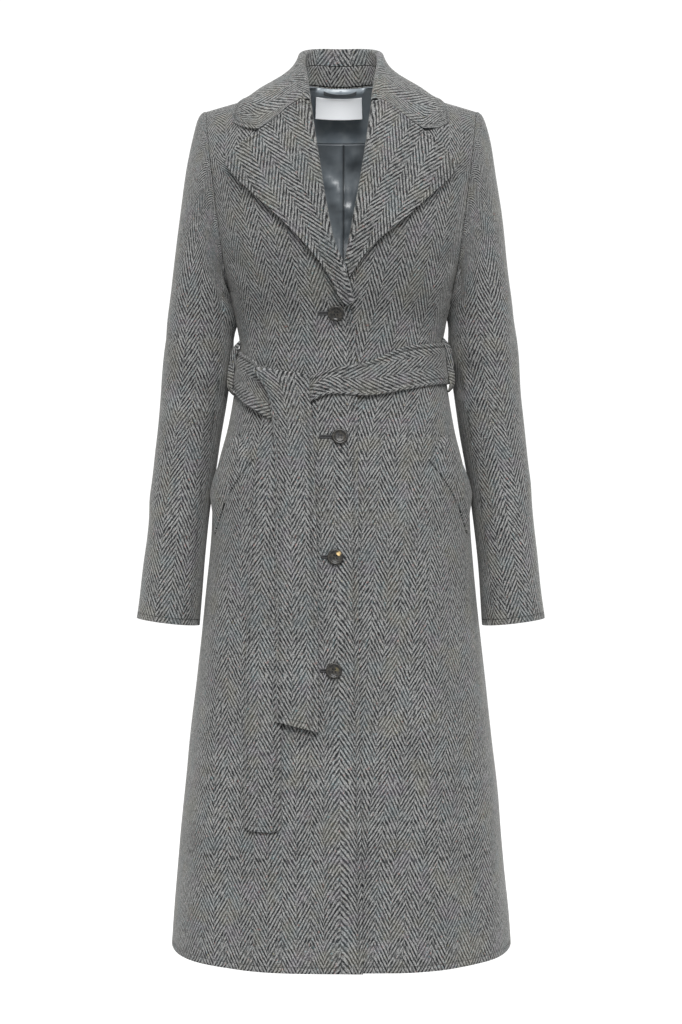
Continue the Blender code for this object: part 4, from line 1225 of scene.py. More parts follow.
def unrolled(angle, along):
    """Length round the sleeve from its front line, and down it from where the cap ends."""
    lengths = sleeve_girth(round(along, 3))
    u = between(lengths, (angle + QUARTER) / (2 * math.pi) * (len(lengths) - 1))
    if along <= 1:
        return u, SLEEVE_TOP + (1 - along) * cap_length(round(angle, 2))
    return u, blend(SLEEVE_TOP, CUFF, along - 1)


def make_sleeve(wearer, part, start, end):
    """One of the sleeve's two parts, between its two seams."""
    rows = CAP_ROWS + ARM_ROWS

    def place(across, up):
        at = up * rows
        along = at / CAP_ROWS if at <= CAP_ROWS else 1 + (at - CAP_ROWS) / ARM_ROWS
        return blend(start, end, across), along

    def surface(across, up):
        point = sleeve_point(*place(across, up))
        return Vector((point.x * wearer, point.y, point.z))

    def weave(across, up, point):
        u, v = unrolled(*place(across, up))
        return (u - read(SLEEVE_GRAIN[wearer], "line", max(min(v, 0.0), CUFF))) * wearer + COLUMN, v

    def relief(across, up, point):
        angle, along = place(across, up)
        u, v = unrolled(angle, along)
        puff = CAP_PUFF * bell(along - CAP_PUFF_PLACE, CAP_PUFF_LENGTH)
        puff *= blend(CAP_PUFF_UNDER, 1.0, crown(angle))
        shift_u, shift_v = SLEEVE_SHIFT[wearer]
        soft = crease(FOLDS_SLEEVE, u + shift_u, v + shift_v)
        soft += waver(Vector((u, v, wearer)), SLEEVE_WAVER_SIZE, SLEEVE_WAVER)
        free = ease(0.0, SLEEVE_FREE_CAP, along) * ease(0.0, SLEEVE_FREE_SEAM, min(across, 1 - across))
        return (soft * free + puff) * wearer

    def lined(across, up):
        return SLEEVE_LINED[0] < up < SLEEVE_LINED[1]

    return cloth(
        f"sleeve_{part}_{SIDES[wearer]}_cloth", SLEEVE_COLUMNS[part], rows, faced(surface), weave, 0.0,
        -WALL * wearer, relief=relief, lined=lined, edges=("high",),
    )


# --- Lapels ------------------------------------------------------------------------------------------------


def lapel_lift(share):
    """Height of the middle of the lapel over the front, from its roll (0) to its outer edge (1)."""
    roll = 2 * ROLL_RADIUS - WALL / 2
    return roll + (LAPEL_REST - roll) * ease(*LAPEL_FALL, share)


def section_turn(share):
    """How far along and out a roll of radius 1 has come."""
    turn = math.pi * share - QUARTER
    return 1 - math.cos(turn), 1 + math.sin(turn)


def make_lapel(wearer):
    rows = LAPELS[wearer]
    chord_start = read_place(rows, "roll_out roll_height", 1)
    chord_end = read_place(rows, "edge_out edge_height", 1)
    tip = Vector((LAPEL_TIP["out"][-1], LAPEL_TIP["height"][-1]))

    def spot(across, up):
        """Place over the front, out from the centre and in height, with the height of the cloth over it."""
        roll = read_place(rows, "roll_out roll_height", up)
        edge = read_place(rows, "edge_out edge_height", up)
        width = (edge - roll).length
        radius = min(ROLL_RADIUS, width * ROLL_NARROWEST)
        if across <= TURN_SHARE:
            along, out = section_turn(across / TURN_SHARE)
            distance, lift = radius * along, radius * out
        else:
            part = (across - TURN_SHARE) / (1 - TURN_SHARE)
            distance = radius + (width - radius) * part
            lift = min(2 * radius, lapel_lift(distance / width) + WALL / 2)
        share = distance / width
        line = read_place(GORGE if share < NOTCH_SHARE else LAPEL_TIP, "out height", share)
        line += (chord_end - tip) * ease(NOTCH_SHARE, 1.0, share)
        top = ease(*LAPEL_TOP_BLEND, up) * ease(*LAPEL_ROLL_BLEND, share)
        place = roll + (edge - roll) * share
        place += (line - chord_start - (chord_end - chord_start) * share) * top
        return place, lift

    def surface(across, up):
        place, lift = spot(across, up)
        point, normal = front_at(wearer, place.x, place.y)
        return point + normal * (lift - WALL / 2)

    def weave(across, up, point):
        place = spot(across, up)[0]
        if across < TURN_SHARE / 2:
            place = place - Vector((ROLL_RADIUS * (1 - 2 * across / TURN_SHARE), 0))
        cosine, sine = math.cos(LAPEL_GRAIN), math.sin(LAPEL_GRAIN)
        return (place.x * cosine + place.y * sine) * wearer, place.y * cosine - place.x * sine

    def relief(across, up, point):
        soft = waver(point, LAPEL_WAVER_SIZE, LAPEL_WAVER, seed=9.0) * ease(*LAPEL_WAVER_FROM, across)
        edge = LAPEL_EDGE * ease(*LAPEL_EDGE_FROM, across) * ease(*LAPEL_EDGE_FOOT, up)
        return (soft + edge) * wearer

    half = DOUBLE_WALL / 2 * wearer
    return cloth(
        f"lapel_{SIDES[wearer]}_cloth", TURN_COLUMNS + LAPEL_COLUMNS, LAPEL_ROWS, faced(surface), weave, half,
        -half, relief=relief, edges=("right", "high", "low"),
    )


# --- Collar ------------------------------------------------------------------------------------------------


def neck_seam(station):
    """Where the collar is sewn on: round the back neck, then along the edge of the front."""
    if station <= SHOULDER_STATION:
        x = NECK_X * math.sin(QUARTER * station / SHOULDER_STATION)
        level = back_neck_level(x)
        return body_point(BACK, angle_at(x, level), level)
    level = 1 - (1 - GORGE_LEVEL) * (station - SHOULDER_STATION) / (1 - SHOULDER_STATION)
    inset = ease(SHOULDER_STATION, 1.0, station)
    x = read(FRONT_EDGE, "right", level) - NECK_INSET * inset
    point, normal = body_frame(FRONT, angle_at(x, level), level)
    return point - normal * WALL / 2 * inset


@lru_cache(maxsize=None)
def collar_axes(station):
    """Neck seam, fold point, direction in which the stand rises, and direction outwards from the neck."""
    base, fold = neck_seam(station), read_place(COLLAR, "fold_x fold_y fold_z", station)
    rise = (fold - base).normalized()
    radial = Vector((base.x, base.y, 0.0)).normalized()
    radial.z = GORGE_TILT * ease(SHOULDER_STATION, 1.0, station)
    out = (radial - rise * radial.dot(rise)).normalized()
    return base, fold, rise, out


def stand_height(station):
    base, fold, _, _ = collar_axes(station)
    full = (fold - base).length * STAND_SHARE
    tip = min(STAND_TIP, full) * ease(1.0, STAND_END, station)
    return tip + (full - tip) * ease(STAND_END, SHOULDER_STATION - STAND_TAPER, station)


def stand_point(station, share):
    station *= STAND_END
    base, _, rise, _ = collar_axes(station)
    top = stand_height(station) - STAND_SEAM
    return base + rise * blend(STAND_GAP, top, share)


@lru_cache(maxsize=None)
def gorge_line(share):
    """The fall's end, which lies on the front along the gorge seam and then from the notch to its tip."""
    share = GORGE_START + (1 - GORGE_START) * share
    ends = GORGE if share < NOTCH_SHARE else COLLAR_TIP
    point, normal = front_at(LEFT, read(ends, "out", share), read(ends, "height", share) + GORGE_SEAM)
    return point + normal * max(lapel_lift(share), COLLAR_REST)


def fall_line(station, share):
    """The fall as it would hang free: hollow where it leaves the roll, bulging further out."""
    _, fold, rise, out = collar_axes(station)
    start = fold - rise * COLLAR_RADIUS + out * 2 * COLLAR_RADIUS
    edge = read_place(COLLAR, "edge_x edge_y edge_z", station)
    chord = edge - start
    face = (out - chord * out.dot(chord) / chord.dot(chord)).normalized() * chord.length
    near = start + chord * FALL_NEAR - face * read(COLLAR, "hollow", station)
    far = start + chord * FALL_FAR + face * read(COLLAR, "bulge", station)
    t = share
    return start * (1 - t) ** 3 + near * 3 * t * (1 - t) ** 2 + far * 3 * t * t * (1 - t) + edge * t**3


@lru_cache(maxsize=None)
def fall_point(station, share):
    point = fall_line(station, share)
    if station > GORGE_BLEND:
        gorge = ease(GORGE_BLEND, 1.0, station) * ease(0.0, GORGE_ROLL_BLEND, share)
        point += (gorge_line(share) - fall_line(1.0, share)) * gorge
    free = ease(COLLAR_FREE, 1.0, station)
    return point.lerp(rest_on_body(point, COLLAR_REST), 1 - free)


def collar_point(station, share):
    """A point of the collar's section: up the inside, over the fold and down the fall."""
    place = share * COLLAR_COLUMNS
    base, fold, rise, out = collar_axes(station)
    if place <= RISE_COLUMNS:
        start = base + rise * stand_height(station)
        end = fold - rise * COLLAR_RADIUS
        return start + (end - start) * place / RISE_COLUMNS
    place -= RISE_COLUMNS
    if place <= FOLD_COLUMNS:
        turn = math.pi * place / FOLD_COLUMNS
        up, over = math.sin(turn) - 1, 1 - math.cos(turn)
        return fold + (rise * up + out * over) * COLLAR_RADIUS
    return fall_point(station, (place - FOLD_COLUMNS) / FALL_COLUMNS)


def both_sides(point_at):
    """Takes a surface made for the wearer's left round the neck to the right as well."""

    def surface(across, up):
        around_neck = 2 * up - 1
        point = point_at(abs(around_neck), across)
        return Vector((math.copysign(point.x, around_neck) if around_neck else 0.0, point.y, point.z))

    return surface


@lru_cache(maxsize=None)
def fold_length(station):
    """Length of the collar's fold from the centre back."""
    steps = max(round(station * FOLD_STEPS), 1)
    fold = [read_place(COLLAR, "fold_x fold_y fold_z", station * i / steps) for i in range(steps + 1)]
    return run_of(fold)[-1]


@lru_cache(maxsize=None)
def section_length(station, share):
    """Length of cloth up the collar's section, from its fold, where it is 0, negative down the inside."""
    steps = 12
    middle = (RISE_COLUMNS + FOLD_COLUMNS / 2) / COLLAR_COLUMNS
    points = [collar_point(station, middle + (share - middle) * i / steps) for i in range(steps + 1)]
    return math.copysign(run_of(points)[-1], share - middle)


def collar_weave(across, up, point):
    """The collar is cut curved, so that its grain turns from upright at the back to level at the front."""
    around_neck = 2 * up - 1
    station = round(abs(around_neck), 4)
    turn = COLLAR_CURVE * abs(around_neck)
    bend = max(turn, 1e-6)
    length, down = fold_length(station), section_length(station, round(across, 4))
    u = length * math.sin(turn) / bend + down * math.sin(turn)
    v = -length * (1 - math.cos(turn)) / bend + down * math.cos(turn)
    return (math.copysign(u, around_neck) + COLLAR_PHASE) / COLLAR_EASE, v / COLLAR_EASE


def stand_weave(across, up, point):
    around_neck = 2 * up - 1
    u = fold_length(round(abs(around_neck) * STAND_END, 4))
    return math.copysign(u, around_neck) + STAND_PHASE, point.z


def make_collar_fall():
    half = DOUBLE_WALL / 2

    def relief(across, up, point):
        edge = ease(COLLAR_EDGE_FROM, 1.0, across)
        notch = ease(NOTCH_LIFT_FROM, 1.0, abs(2 * up - 1))
        soft = waver(point, COLLAR_WAVER_SIZE, COLLAR_WAVER, seed=2.0) * ease(*COLLAR_WAVER_FROM, across)
        return (COLLAR_EDGE + NOTCH_LIFT * notch) * edge + soft

    return cloth(
        "collar_fall_cloth", COLLAR_COLUMNS, COLLAR_ROWS, faced(both_sides(collar_point)), collar_weave, half,
        -half, relief=relief, edges=("right", "low", "high"),
    )


def make_collar_stand():
    half = DOUBLE_WALL / 2
    return cloth(
        "collar_stand_cloth", STAND_COLUMNS, STAND_ROWS, faced(both_sides(stand_point)), stand_weave, half,
        -half,
    )


# --- Belt --------------------------------------------------------------------------------------------------


def belt_crown(off_edge):
    """How far the belt stands out between its edges. off_edge is 0 at an edge and 1 in the middle."""
    return BELT_CROWN * (ease(*BELT_CROWN_FROM, off_edge) - BELT_SINK)


def make_band(name, rows, phase=BELT_PHASE, edges=("low", "high")):
    """A stretch of the belt, lying round the body."""
    first, last = rows["turn"][0], rows["turn"][-1]

    def frame(across, up):
        turn = blend(first, last, across)
        height = blend(read(rows, "bottom", turn), read(rows, "top", turn), up)
        point, normal = cloth_ring(turn, height)
        return point + normal * read(rows, "lift", turn), normal

    @lru_cache(maxsize=None)
    def length(across):
        steps = max(round(across * BAND_STEPS), 1)
        return run_of([frame(across * i / steps, 0.5)[0] for i in range(steps + 1)])[-1]

    def weave(across, up, point):
        turn = blend(first, last, across)
        return (read(rows, "top", turn) - read(rows, "bottom", turn)) * up + phase, length(across)

    def relief(across, up, point):
        place = Vector((point.x, point.y, point.z * BELT_PUCKER_SQUASH))
        return belt_crown(min(up, 1 - up) * 2) + waver(place, BELT_PUCKER_SIZE, BELT_PUCKER, seed=first)

    return cloth(
        f"{name}_cloth", BAND_COLUMNS[name], BAND_ROWS, frame, weave, 0.0, -DOUBLE_WALL, relief=relief,
        edges=edges,
    )


def tail_frame(rows, across, up):
    x = blend(read(rows, "left_x", up), read(rows, "right_x", up), across)
    height = blend(read(rows, "left_z", up), read(rows, "right_z", up), across)
    if rows is TAIL_LOWER:
        corner = abs(2 * across - 1) ** TAIL_CORNER_POWER
        height += TAIL_CORNER * corner * ease(TAIL_CORNER_SHARE, 0.0, up)
    point, normal = front_at(RIGHT, -x, height)
    return point + normal * read(rows, "lift", up), normal


def tail_weave(tail):
    def weave(across, up, point):
        return across * TAIL_WIDTH[tail] + TAIL_PHASE[tail], point.z

    return weave


def tail_relief(across, up, point):
    """The thick long edges of a tail, the dips inside them and the crown between."""
    off_edge = min(across, 1 - across) * 2
    roll = TAIL_ROLL * (ease(*TAIL_ROLL_OUT, off_edge) - ease(*TAIL_ROLL_IN, off_edge) * TAIL_DIP)
    return roll + belt_crown(off_edge) + TAIL_RISE + waver(point, TAIL_WAVER_SIZE, TAIL_WAVER, seed=3.0)


def make_tail_lower():
    return cloth(
        "belt_tail_lower_cloth", TAIL_COLUMNS, TAIL_ROWS, lambda u, v: tail_frame(TAIL_LOWER, u, v),
        tail_weave("lower"), 0.0, -DOUBLE_WALL, relief=tail_relief, edges=("left", "right", "low"),
    )


def make_tail_upper():
    """The tail in front, with the roll at its top where it comes over the belt."""
    half = DOUBLE_WALL / 2
    rows = TAIL_ROWS + TAIL_ROLL_ROWS

    def surface(across, up):
        place = up * rows
        if place <= TAIL_ROWS:
            point, normal = tail_frame(TAIL_UPPER, across, place / TAIL_ROWS)
            return point - normal * DOUBLE_WALL / 2
        point, normal = tail_frame(TAIL_UPPER, across, 1.0)
        turn = math.pi * (place - TAIL_ROWS) / TAIL_ROLL_ROWS
        centre = point - normal * (half + TAIL_TURN)
        return centre + (normal * math.cos(turn) + Vector((0, 0, 1)) * math.sin(turn)) * TAIL_TURN

    def relief(across, up, point):
        return tail_relief(across, up, point) * ease(*TAIL_SOFT, up)

    return cloth(
        "belt_tail_upper_cloth", TAIL_COLUMNS, rows, faced(surface), tail_weave("upper"), half, -half,
        relief=relief, edges=("left", "right", "low"),
    )


def make_loop(wearer):
    """A narrow strip that stands out over the belt, twisted so that its face shows from the front."""
    low, high = LOOP["height"][0], LOOP["height"][-1]
    sink = LOOP_SINK[wearer]

    def frame(across, up):
        height = blend(low, high, up)
        point, normal = cloth_ring(wearer * LOOP_TURN, height + sink)
        sideways = (cloth_ring(wearer * (LOOP_TURN + 1), height + sink)[0] - point).normalized()
        twist = LOOP_TWIST * math.sin(math.pi * up) ** LOOP_TWIST_POWER
        over = sideways * math.cos(twist) + normal * math.sin(twist)
        face = normal * math.cos(twist) - sideways * math.sin(twist)
        middle = point + normal * read(LOOP, "lift", height)
        return middle + over * LOOP_WIDTH * (across - 0.5) * wearer, face

    def weave(across, up, point):
        return point.z * LOOP_LIE + across * LOOP_WIDTH, point.z * LOOP_LIE - across * LOOP_WIDTH

    def relief(across, up, point):
        return LOOP_CROWN * math.sin(math.pi * across)

    return cloth(
        f"belt_loop_{SIDES[wearer]}_cloth", LOOP_COLUMNS, LOOP_ROWS, frame, weave, 0.0, -LOOP_WALL,
        relief=relief, rim=LOOP_RIM,
    )


# --- Pockets -----------------------------------------------------------------------------------------------


def welt_lift(across, up):
    """The welt is sewn down along one long side and both ends, and free along the other side."""
    sewn = min(across / WELT_SEWN_ACROSS, up / WELT_SEWN_ENDS, (1 - up) / WELT_SEWN_ENDS, 1.0)
    return WELT_SEWN + (WELT_LIFT - WELT_SEWN) * ease(0.0, 1.0, sewn) * blend(WELT_SLOPE, 1.0, across)


def welt_inner(across, up):
    """The welt's back: down on the cloth on its sewn side, a wall behind its face on the free one."""
    if across >= 0.5:
        return -DOUBLE_WALL
    return max(min(WELT_AIR - welt_lift(across, up), -WELT_THINNEST), -DOUBLE_WALL)


def make_pocket(wearer):
    def spot(across, up):
        turn = blend(read(POCKET, "sewn_turn", up), read(POCKET, "open_turn", up), across)
        return turn, blend(read(POCKET, "sewn_height", up), read(POCKET, "open_height", up), across)

    def frame(across, up):
        turn, height = spot(across, up)
        point, normal = cloth_ring(turn * wearer, height)
        return point + normal * welt_lift(across, up), normal

    def weave(across, up, point):
        turn, height = spot(across, up)
        return body_weave(FRONT, GRAIN[wearer], math.radians(turn) * wearer, height - YOKE)

    return cloth(
        f"pocket_{SIDES[wearer]}_cloth", WELT_COLUMNS, WELT_ROWS, frame, weave, 0.0, welt_inner, rim=WELT_RIM,
    )


# --- Buttons -----------------------------------------------------------------------------------------------


def make_button(number, x, height):
    """A turned disc with a raised rim, on its sewn shank, facing as the cloth does there."""
    point, normal = front_at(RIGHT, -x, height)
    bm = bmesh.new()
    radii, heights = BUTTON_SECTION["radius_share"], BUTTON_SECTION["height"]
    profile = [bm.verts.new((BUTTON_RADIUS * r, 0.0, z)) for r, z in zip(radii, heights)]
    edges = [bm.edges.new(pair) for pair in zip(profile, profile[1:])]
    bmesh.ops.spin(
        bm, geom=profile + edges, cent=(0, 0, 0), axis=(0, 0, 1), angle=2 * math.pi, steps=BUTTON_SIDES,
        use_merge=True,
    )
    bmesh.ops.remove_doubles(bm, verts=bm.verts[:], dist=1e-6)
    bmesh.ops.recalc_face_normals(bm, faces=bm.faces[:])
    chart = bm.loops.layers.uv.new("weave")
    for face in bm.faces:
        face.smooth = True
        for loop in face.loops:
            loop[chart].uv = loop.vert.co.xy
    facing = Vector((0, 0, 1)).rotation_difference(normal).to_matrix()
    bmesh.ops.rotate(bm, verts=bm.verts[:], matrix=facing)
    bmesh.ops.translate(bm, verts=bm.verts[:], vec=point)
    return add_piece(f"button_{number}_horn", bm, rim=BUTTON_RIM, everywhere=True)


def make_buttonhole(number, x, height):
    """A worked buttonhole: a bead of thread round a slit, running in from the button towards the side."""
    length = HOLE_LENGTH[number]

    def frame(across, up):
        return front_at(RIGHT, -x + HOLE_START + length * across, height + HOLE_WIDTH * (up - 0.5))

    def weave(across, up, point):
        return length * across, HOLE_WIDTH * (up - 0.5)

    def relief(across, up, point):
        past = max(abs(across - 0.5) * length - (length / 2 - HOLE_WIDTH / 2), 0.0)
        away = math.hypot(past, (up - 0.5) * HOLE_WIDTH) / (HOLE_WIDTH / 2)
        return HOLE_AIR + HOLE_BEAD * bell(away - HOLE_BEAD_PLACE, HOLE_BEAD_WIDTH)

    return cloth(
        f"buttonhole_{number}_thread", HOLE_COLUMNS, HOLE_ROWS, frame, weave, 0.0, -HOLE_AIR / 2,
        relief=relief, rim=0.0,
    )


# --- Inside of the neck ------------------------------------------------------------------------------------


def make_lining():
    rows = len(PANEL_ROWS) - 1

    def frame(across, up):
        point, normal = back_frame(across, blend(LINING_ROW, rows, up) / rows)
        return point - normal * (WALL + LINING_AIR), normal

    def weave(across, up, point):
        return point.x, point.z

    def relief(across, up, point):
        """The pleat down the middle, the yoke's seam, and loose folds below it."""
        free = ease(0.0, LINING_FREE_SIDE, min(across, 1 - across))
        free *= ease(0.0, LINING_FREE_FOOT, up) * ease(1.0, LINING_FREE_TOP, up)
        below = ease(YOKE_SEAM, YOKE_SEAM - PLEAT_START, point.z)
        pleat = PLEAT_DEPTH * ease(PLEAT_X - PLEAT_WIDTH, PLEAT_X, point.x) * (point.x < PLEAT_X) * below
        seam = YOKE_STEP * bell(point.z - YOKE_SEAM, YOKE_STEP_WIDTH)
        loose = crease(FOLDS_LINING, point.x, point.z)
        loose += waver(point, LINING_WAVER_SIZE, LINING_WAVER * below, seed=4.0)
        return -(pleat + seam + max(loose, LINING_LOWEST)) * free

    return cloth(
        "lining_satin", BACK_COLUMNS, rows - LINING_ROW, frame, weave, 0.0, -LINING_WALL, relief=relief,
        rim=0.0,
    )


def inside_back(x, height, depth):
    """Point and outward direction inside the back's lining, that deep."""
    level = level_at(x, height)
    point, normal = body_frame(BACK, angle_at(x, level), level)
    return point - normal * (WALL + LINING_AIR + LINING_WALL + depth), normal


def make_label():
    """A plain label, which hangs straighter than the back curves."""

    def frame(across, up):
        x = LABEL_X + LABEL_WIDTH * (across - 0.5)
        top = inside_back(x, LABEL_TOP, LABEL_AIR)[0]
        point, normal = inside_back(x, blend(LABEL_BOTTOM, LABEL_TOP, up), LABEL_AIR)
        point.y -= LABEL_HANG * max(point.y - top.y, 0.0)
        return point, Vector((normal.x, normal.y, normal.z * (1 - LABEL_HANG))).normalized()

    def weave(across, up, point):
        return across * LABEL_WIDTH, up * (LABEL_TOP - LABEL_BOTTOM)

    return cloth("label_blank", LABEL_COLUMNS, LABEL_ROWS, frame, weave, 0.0, -LABEL_WALL, rim=LABEL_RIM)


def make_hanger_loop():
    def frame(across, up):
        x = HANGER_X + HANGER_HALF_LENGTH * (2 * across - 1)
        sag = HANGER_SAG * (1 - (2 * across - 1) ** 4)
        height = HANGER_TOP - HANGER_HEIGHT * (1 - up) - sag / 2
        return inside_back(x, height, HANGER_AIR + sag)

    def weave(across, up, point):
        return across * HANGER_HALF_LENGTH * 2, up * HANGER_HEIGHT

    return cloth(
        "hanger_loop_satin", HANGER_COLUMNS, HANGER_ROWS, frame, weave, 0.0, -HANGER_WALL, rim=HANGER_RIM,
    )


# --- Finishes ----------------------------------------------------------------------------------------------


def plain(name, colour, roughness):
    material = bpy.data.materials.new(name)
    material.use_nodes = True
    shader = material.node_tree.nodes["Principled BSDF"]
    shader.inputs["Base Color"].default_value = (*colour, 1.0)
    shader.inputs["Roughness"].default_value = roughness
    return material, material.node_tree, shader


def join(tree, value, socket):
    if isinstance(value, bpy.types.NodeSocket):
        tree.links.new(value, socket)
    else:
        socket.default_value = value


def maths(tree, operation, *values):
    node = tree.nodes.new("ShaderNodeMath")
    node.operation = operation
    for value, socket in zip(values, node.inputs):
        join(tree, value, socket)
    return node.outputs[0]


def smooth_step(tree, value, low, high, start=0.0, end=1.0):
    node = tree.nodes.new("ShaderNodeMapRange")
    node.interpolation_type = "SMOOTHSTEP"
    names = "Value", "From Min", "From Max", "To Min", "To Max"
    for name, given in zip(names, (value, low, high, start, end)):
        join(tree, given, node.inputs[name])
    return node.outputs["Result"]


def cloud(tree, place, scale, detail=2.0, rough=0.5):
    """Soft patches, so many to a metre."""
    node = tree.nodes.new("ShaderNodeTexNoise")
    join(tree, place, node.inputs["Vector"])
    node.inputs["Scale"].default_value = scale
    node.inputs["Detail"].default_value = detail
    node.inputs["Roughness"].default_value = rough
    return node.outputs["Fac"]


def strayed(tree, place, scale, reach, detail=2.0, rough=0.5):
    """Soft patches as a number that strays by half the reach to either side of nothing."""
    return maths(tree, "MULTIPLY_ADD", cloud(tree, place, scale, detail, rough), reach, -reach / 2)


def mixed(tree, share, first, second):
    node = tree.nodes.new("ShaderNodeMix")
    node.data_type = "RGBA"
    join(tree, share, node.inputs["Factor"])
    for value, socket in ((first, node.inputs[6]), (second, node.inputs[7])):
        join(tree, (*value, 1.0) if isinstance(value, tuple) else value, socket)
    return node.outputs[2]


def bump(tree, height, strength, distance, below=None):
    node = tree.nodes.new("ShaderNodeBump")
    if below:
        tree.links.new(below, node.inputs["Normal"])
    node.inputs["Strength"].default_value = strength
    node.inputs["Distance"].default_value = distance
    join(tree, height, node.inputs["Height"])
    return node.outputs["Normal"]


def finish(tree, shader, colour, normal):
    tree.links.new(colour, shader.inputs["Base Color"])
    tree.links.new(normal, shader.inputs["Normal"])


def chart_of(tree, layer="weave"):
    """Place on the flat cloth, and its two parts."""
    chart = tree.nodes.new("ShaderNodeUVMap")
    chart.uv_map = layer
    apart = tree.nodes.new("ShaderNodeSeparateXYZ")
    tree.links.new(chart.outputs["UV"], apart.inputs[0])
    return chart.outputs["UV"], apart.outputs[0], apart.outputs[1]


def vector_of(tree, *values):
    node = tree.nodes.new("ShaderNodeCombineXYZ")
    for value, socket in zip(values, node.inputs):
        join(tree, value, socket)
    return node.outputs[0]


def scaled(tree, colour, amount):
    node = tree.nodes.new("ShaderNodeVectorMath")
    node.operation = "SCALE"
    join(tree, colour, node.inputs[0])
    join(tree, amount, node.inputs["Scale"])
    return node.outputs[0]


def line_at(tree, value, middle, half_width):
    """One on a line where the value is at its middle, fading to nothing beside it."""
    off = maths(tree, "DIVIDE", maths(tree, "SUBTRACT", value, middle), half_width)
    return maths(tree, "EXPONENT", maths(tree, "MULTIPLY", maths(tree, "MULTIPLY", off, off), -1.0))


def distance_to(tree, x, y, to_x, to_y):
    x = maths(tree, "SUBTRACT", x, to_x)
    y = maths(tree, "SUBTRACT", y, to_y)
    return maths(tree, "SQRT", maths(tree, "MULTIPLY_ADD", x, x, maths(tree, "MULTIPLY", y, y)))


def edge_form(tree):
    """A turned and stitched edge: a soft roll out to the edge, and a row of stitches along its inner side."""
    _, inward, along = chart_of(tree, "margin")
    half_stitch = STITCH_LENGTH / 2
    roll = smooth_step(tree, inward, EDGE_STITCH * EDGE_FLAT, EDGE_STITCH, 1.0, 0.0)
    dip = line_at(tree, inward, EDGE_STITCH, STITCH_HALF_WIDTH)
    pull = smooth_step(tree, maths(tree, "PINGPONG", along, half_stitch), 0.0, half_stitch, STITCH_SLACK, 1.0)
    height = maths(tree, "SUBTRACT", roll, maths(tree, "MULTIPLY", dip, pull))
    return bump(tree, height, 1.0, EDGE_DEPTH)


def tinted(tree, body, across, along, wave):
    """Mixes the dyed fibres into the cloth's colour, stronger on the pale yarn."""
    for number, (tint, scale, low, high, amount) in enumerate(TINTS):
        patch_x = maths(tree, "MULTIPLY_ADD", across, scale, TINT_SHIFT[0] * number)
        patch_y = maths(tree, "MULTIPLY", along, scale)
        patches = cloud(tree, vector_of(tree, patch_x, patch_y, TINT_SHIFT[1] * number), 1.0)
        dyed = scaled(tree, tint, smooth_step(tree, wave, *TINT_ON_WAVE))
        body = mixed(tree, smooth_step(tree, patches, low, high, 0.0, amount), body, dyed)
    return body


def make_wool(name):
    """Herringbone overcoating: slanted stripes of pale and dark yarn that turn at every column."""
    material, tree, shader = plain(name, WOOL_PALE, 0.90)
    place, across, along = chart_of(tree)

    run = maths(tree, "PINGPONG", across, COLUMN)
    turn = maths(tree, "FLOORED_MODULO", maths(tree, "FLOOR", maths(tree, "DIVIDE", across, COLUMN)), 2.0)
    climb = maths(tree, "MULTIPLY_ADD", run, -STRIPE_SLOPE, along)
    climb = maths(tree, "ADD", climb, strayed(tree, place, WANDER_SCALE, WANDER))
    stripe = maths(tree, "MULTIPLY_ADD", turn, STRIPE_STEP, maths(tree, "DIVIDE", climb, STRIPE_PITCH))
    stripe = maths(tree, "ADD", stripe, strayed(tree, place, RAGGED_SCALE, RAGGED, 3.0, 0.65))
    wave = maths(tree, "MULTIPLY", maths(tree, "PINGPONG", stripe, 0.5), 2.0)

    along_yarn = maths(tree, "MULTIPLY", run, YARN_LENGTHS)
    over_yarn = maths(tree, "MULTIPLY", climb, YARN_WIDTHS)
    slub = cloud(tree, vector_of(tree, along_yarn, over_yarn, turn), 1.0, 2.0, 0.6)
    fibre = cloud(tree, place, FIBRE_SCALE, 2.0, 0.7)
    uneven = maths(tree, "ADD", wave, maths(tree, "MULTIPLY_ADD", slub, SLUBS, -SLUBS / 2))
    pale = smooth_step(tree, uneven, *PALE_SPAN)
    gap = smooth_step(tree, uneven, *GAP_SPAN)
    worn = smooth_step(tree, cloud(tree, place, WORN_SCALE, 3.0), *WORN_SPAN, *WORN_TONE)
    tone = smooth_step(tree, fibre, *FIBRE_SPAN, 1 - FIBRES, 1 + FIBRES)

    body = mixed(tree, gap, mixed(tree, pale, WOOL_DARK, WOOL_PALE), WOOL_GAP)
    body = tinted(tree, body, across, along, wave)
    height = maths(tree, "MULTIPLY_ADD", pale, 0.6, maths(tree, "MULTIPLY_ADD", fibre, 0.5, slub))
    normal = bump(tree, height, 0.7, WOOL_NAP, below=edge_form(tree))
    finish(tree, shader, scaled(tree, body, maths(tree, "MULTIPLY", tone, worn)), normal)
    shader.inputs["Sheen Weight"].default_value = 0.16
    shader.inputs["Sheen Roughness"].default_value = 0.40
    shader.inputs["Sheen Tint"].default_value = (0.92, 0.92, 0.88, 1.0)
    shader.inputs["Specular IOR Level"].default_value = 0.12
    return material


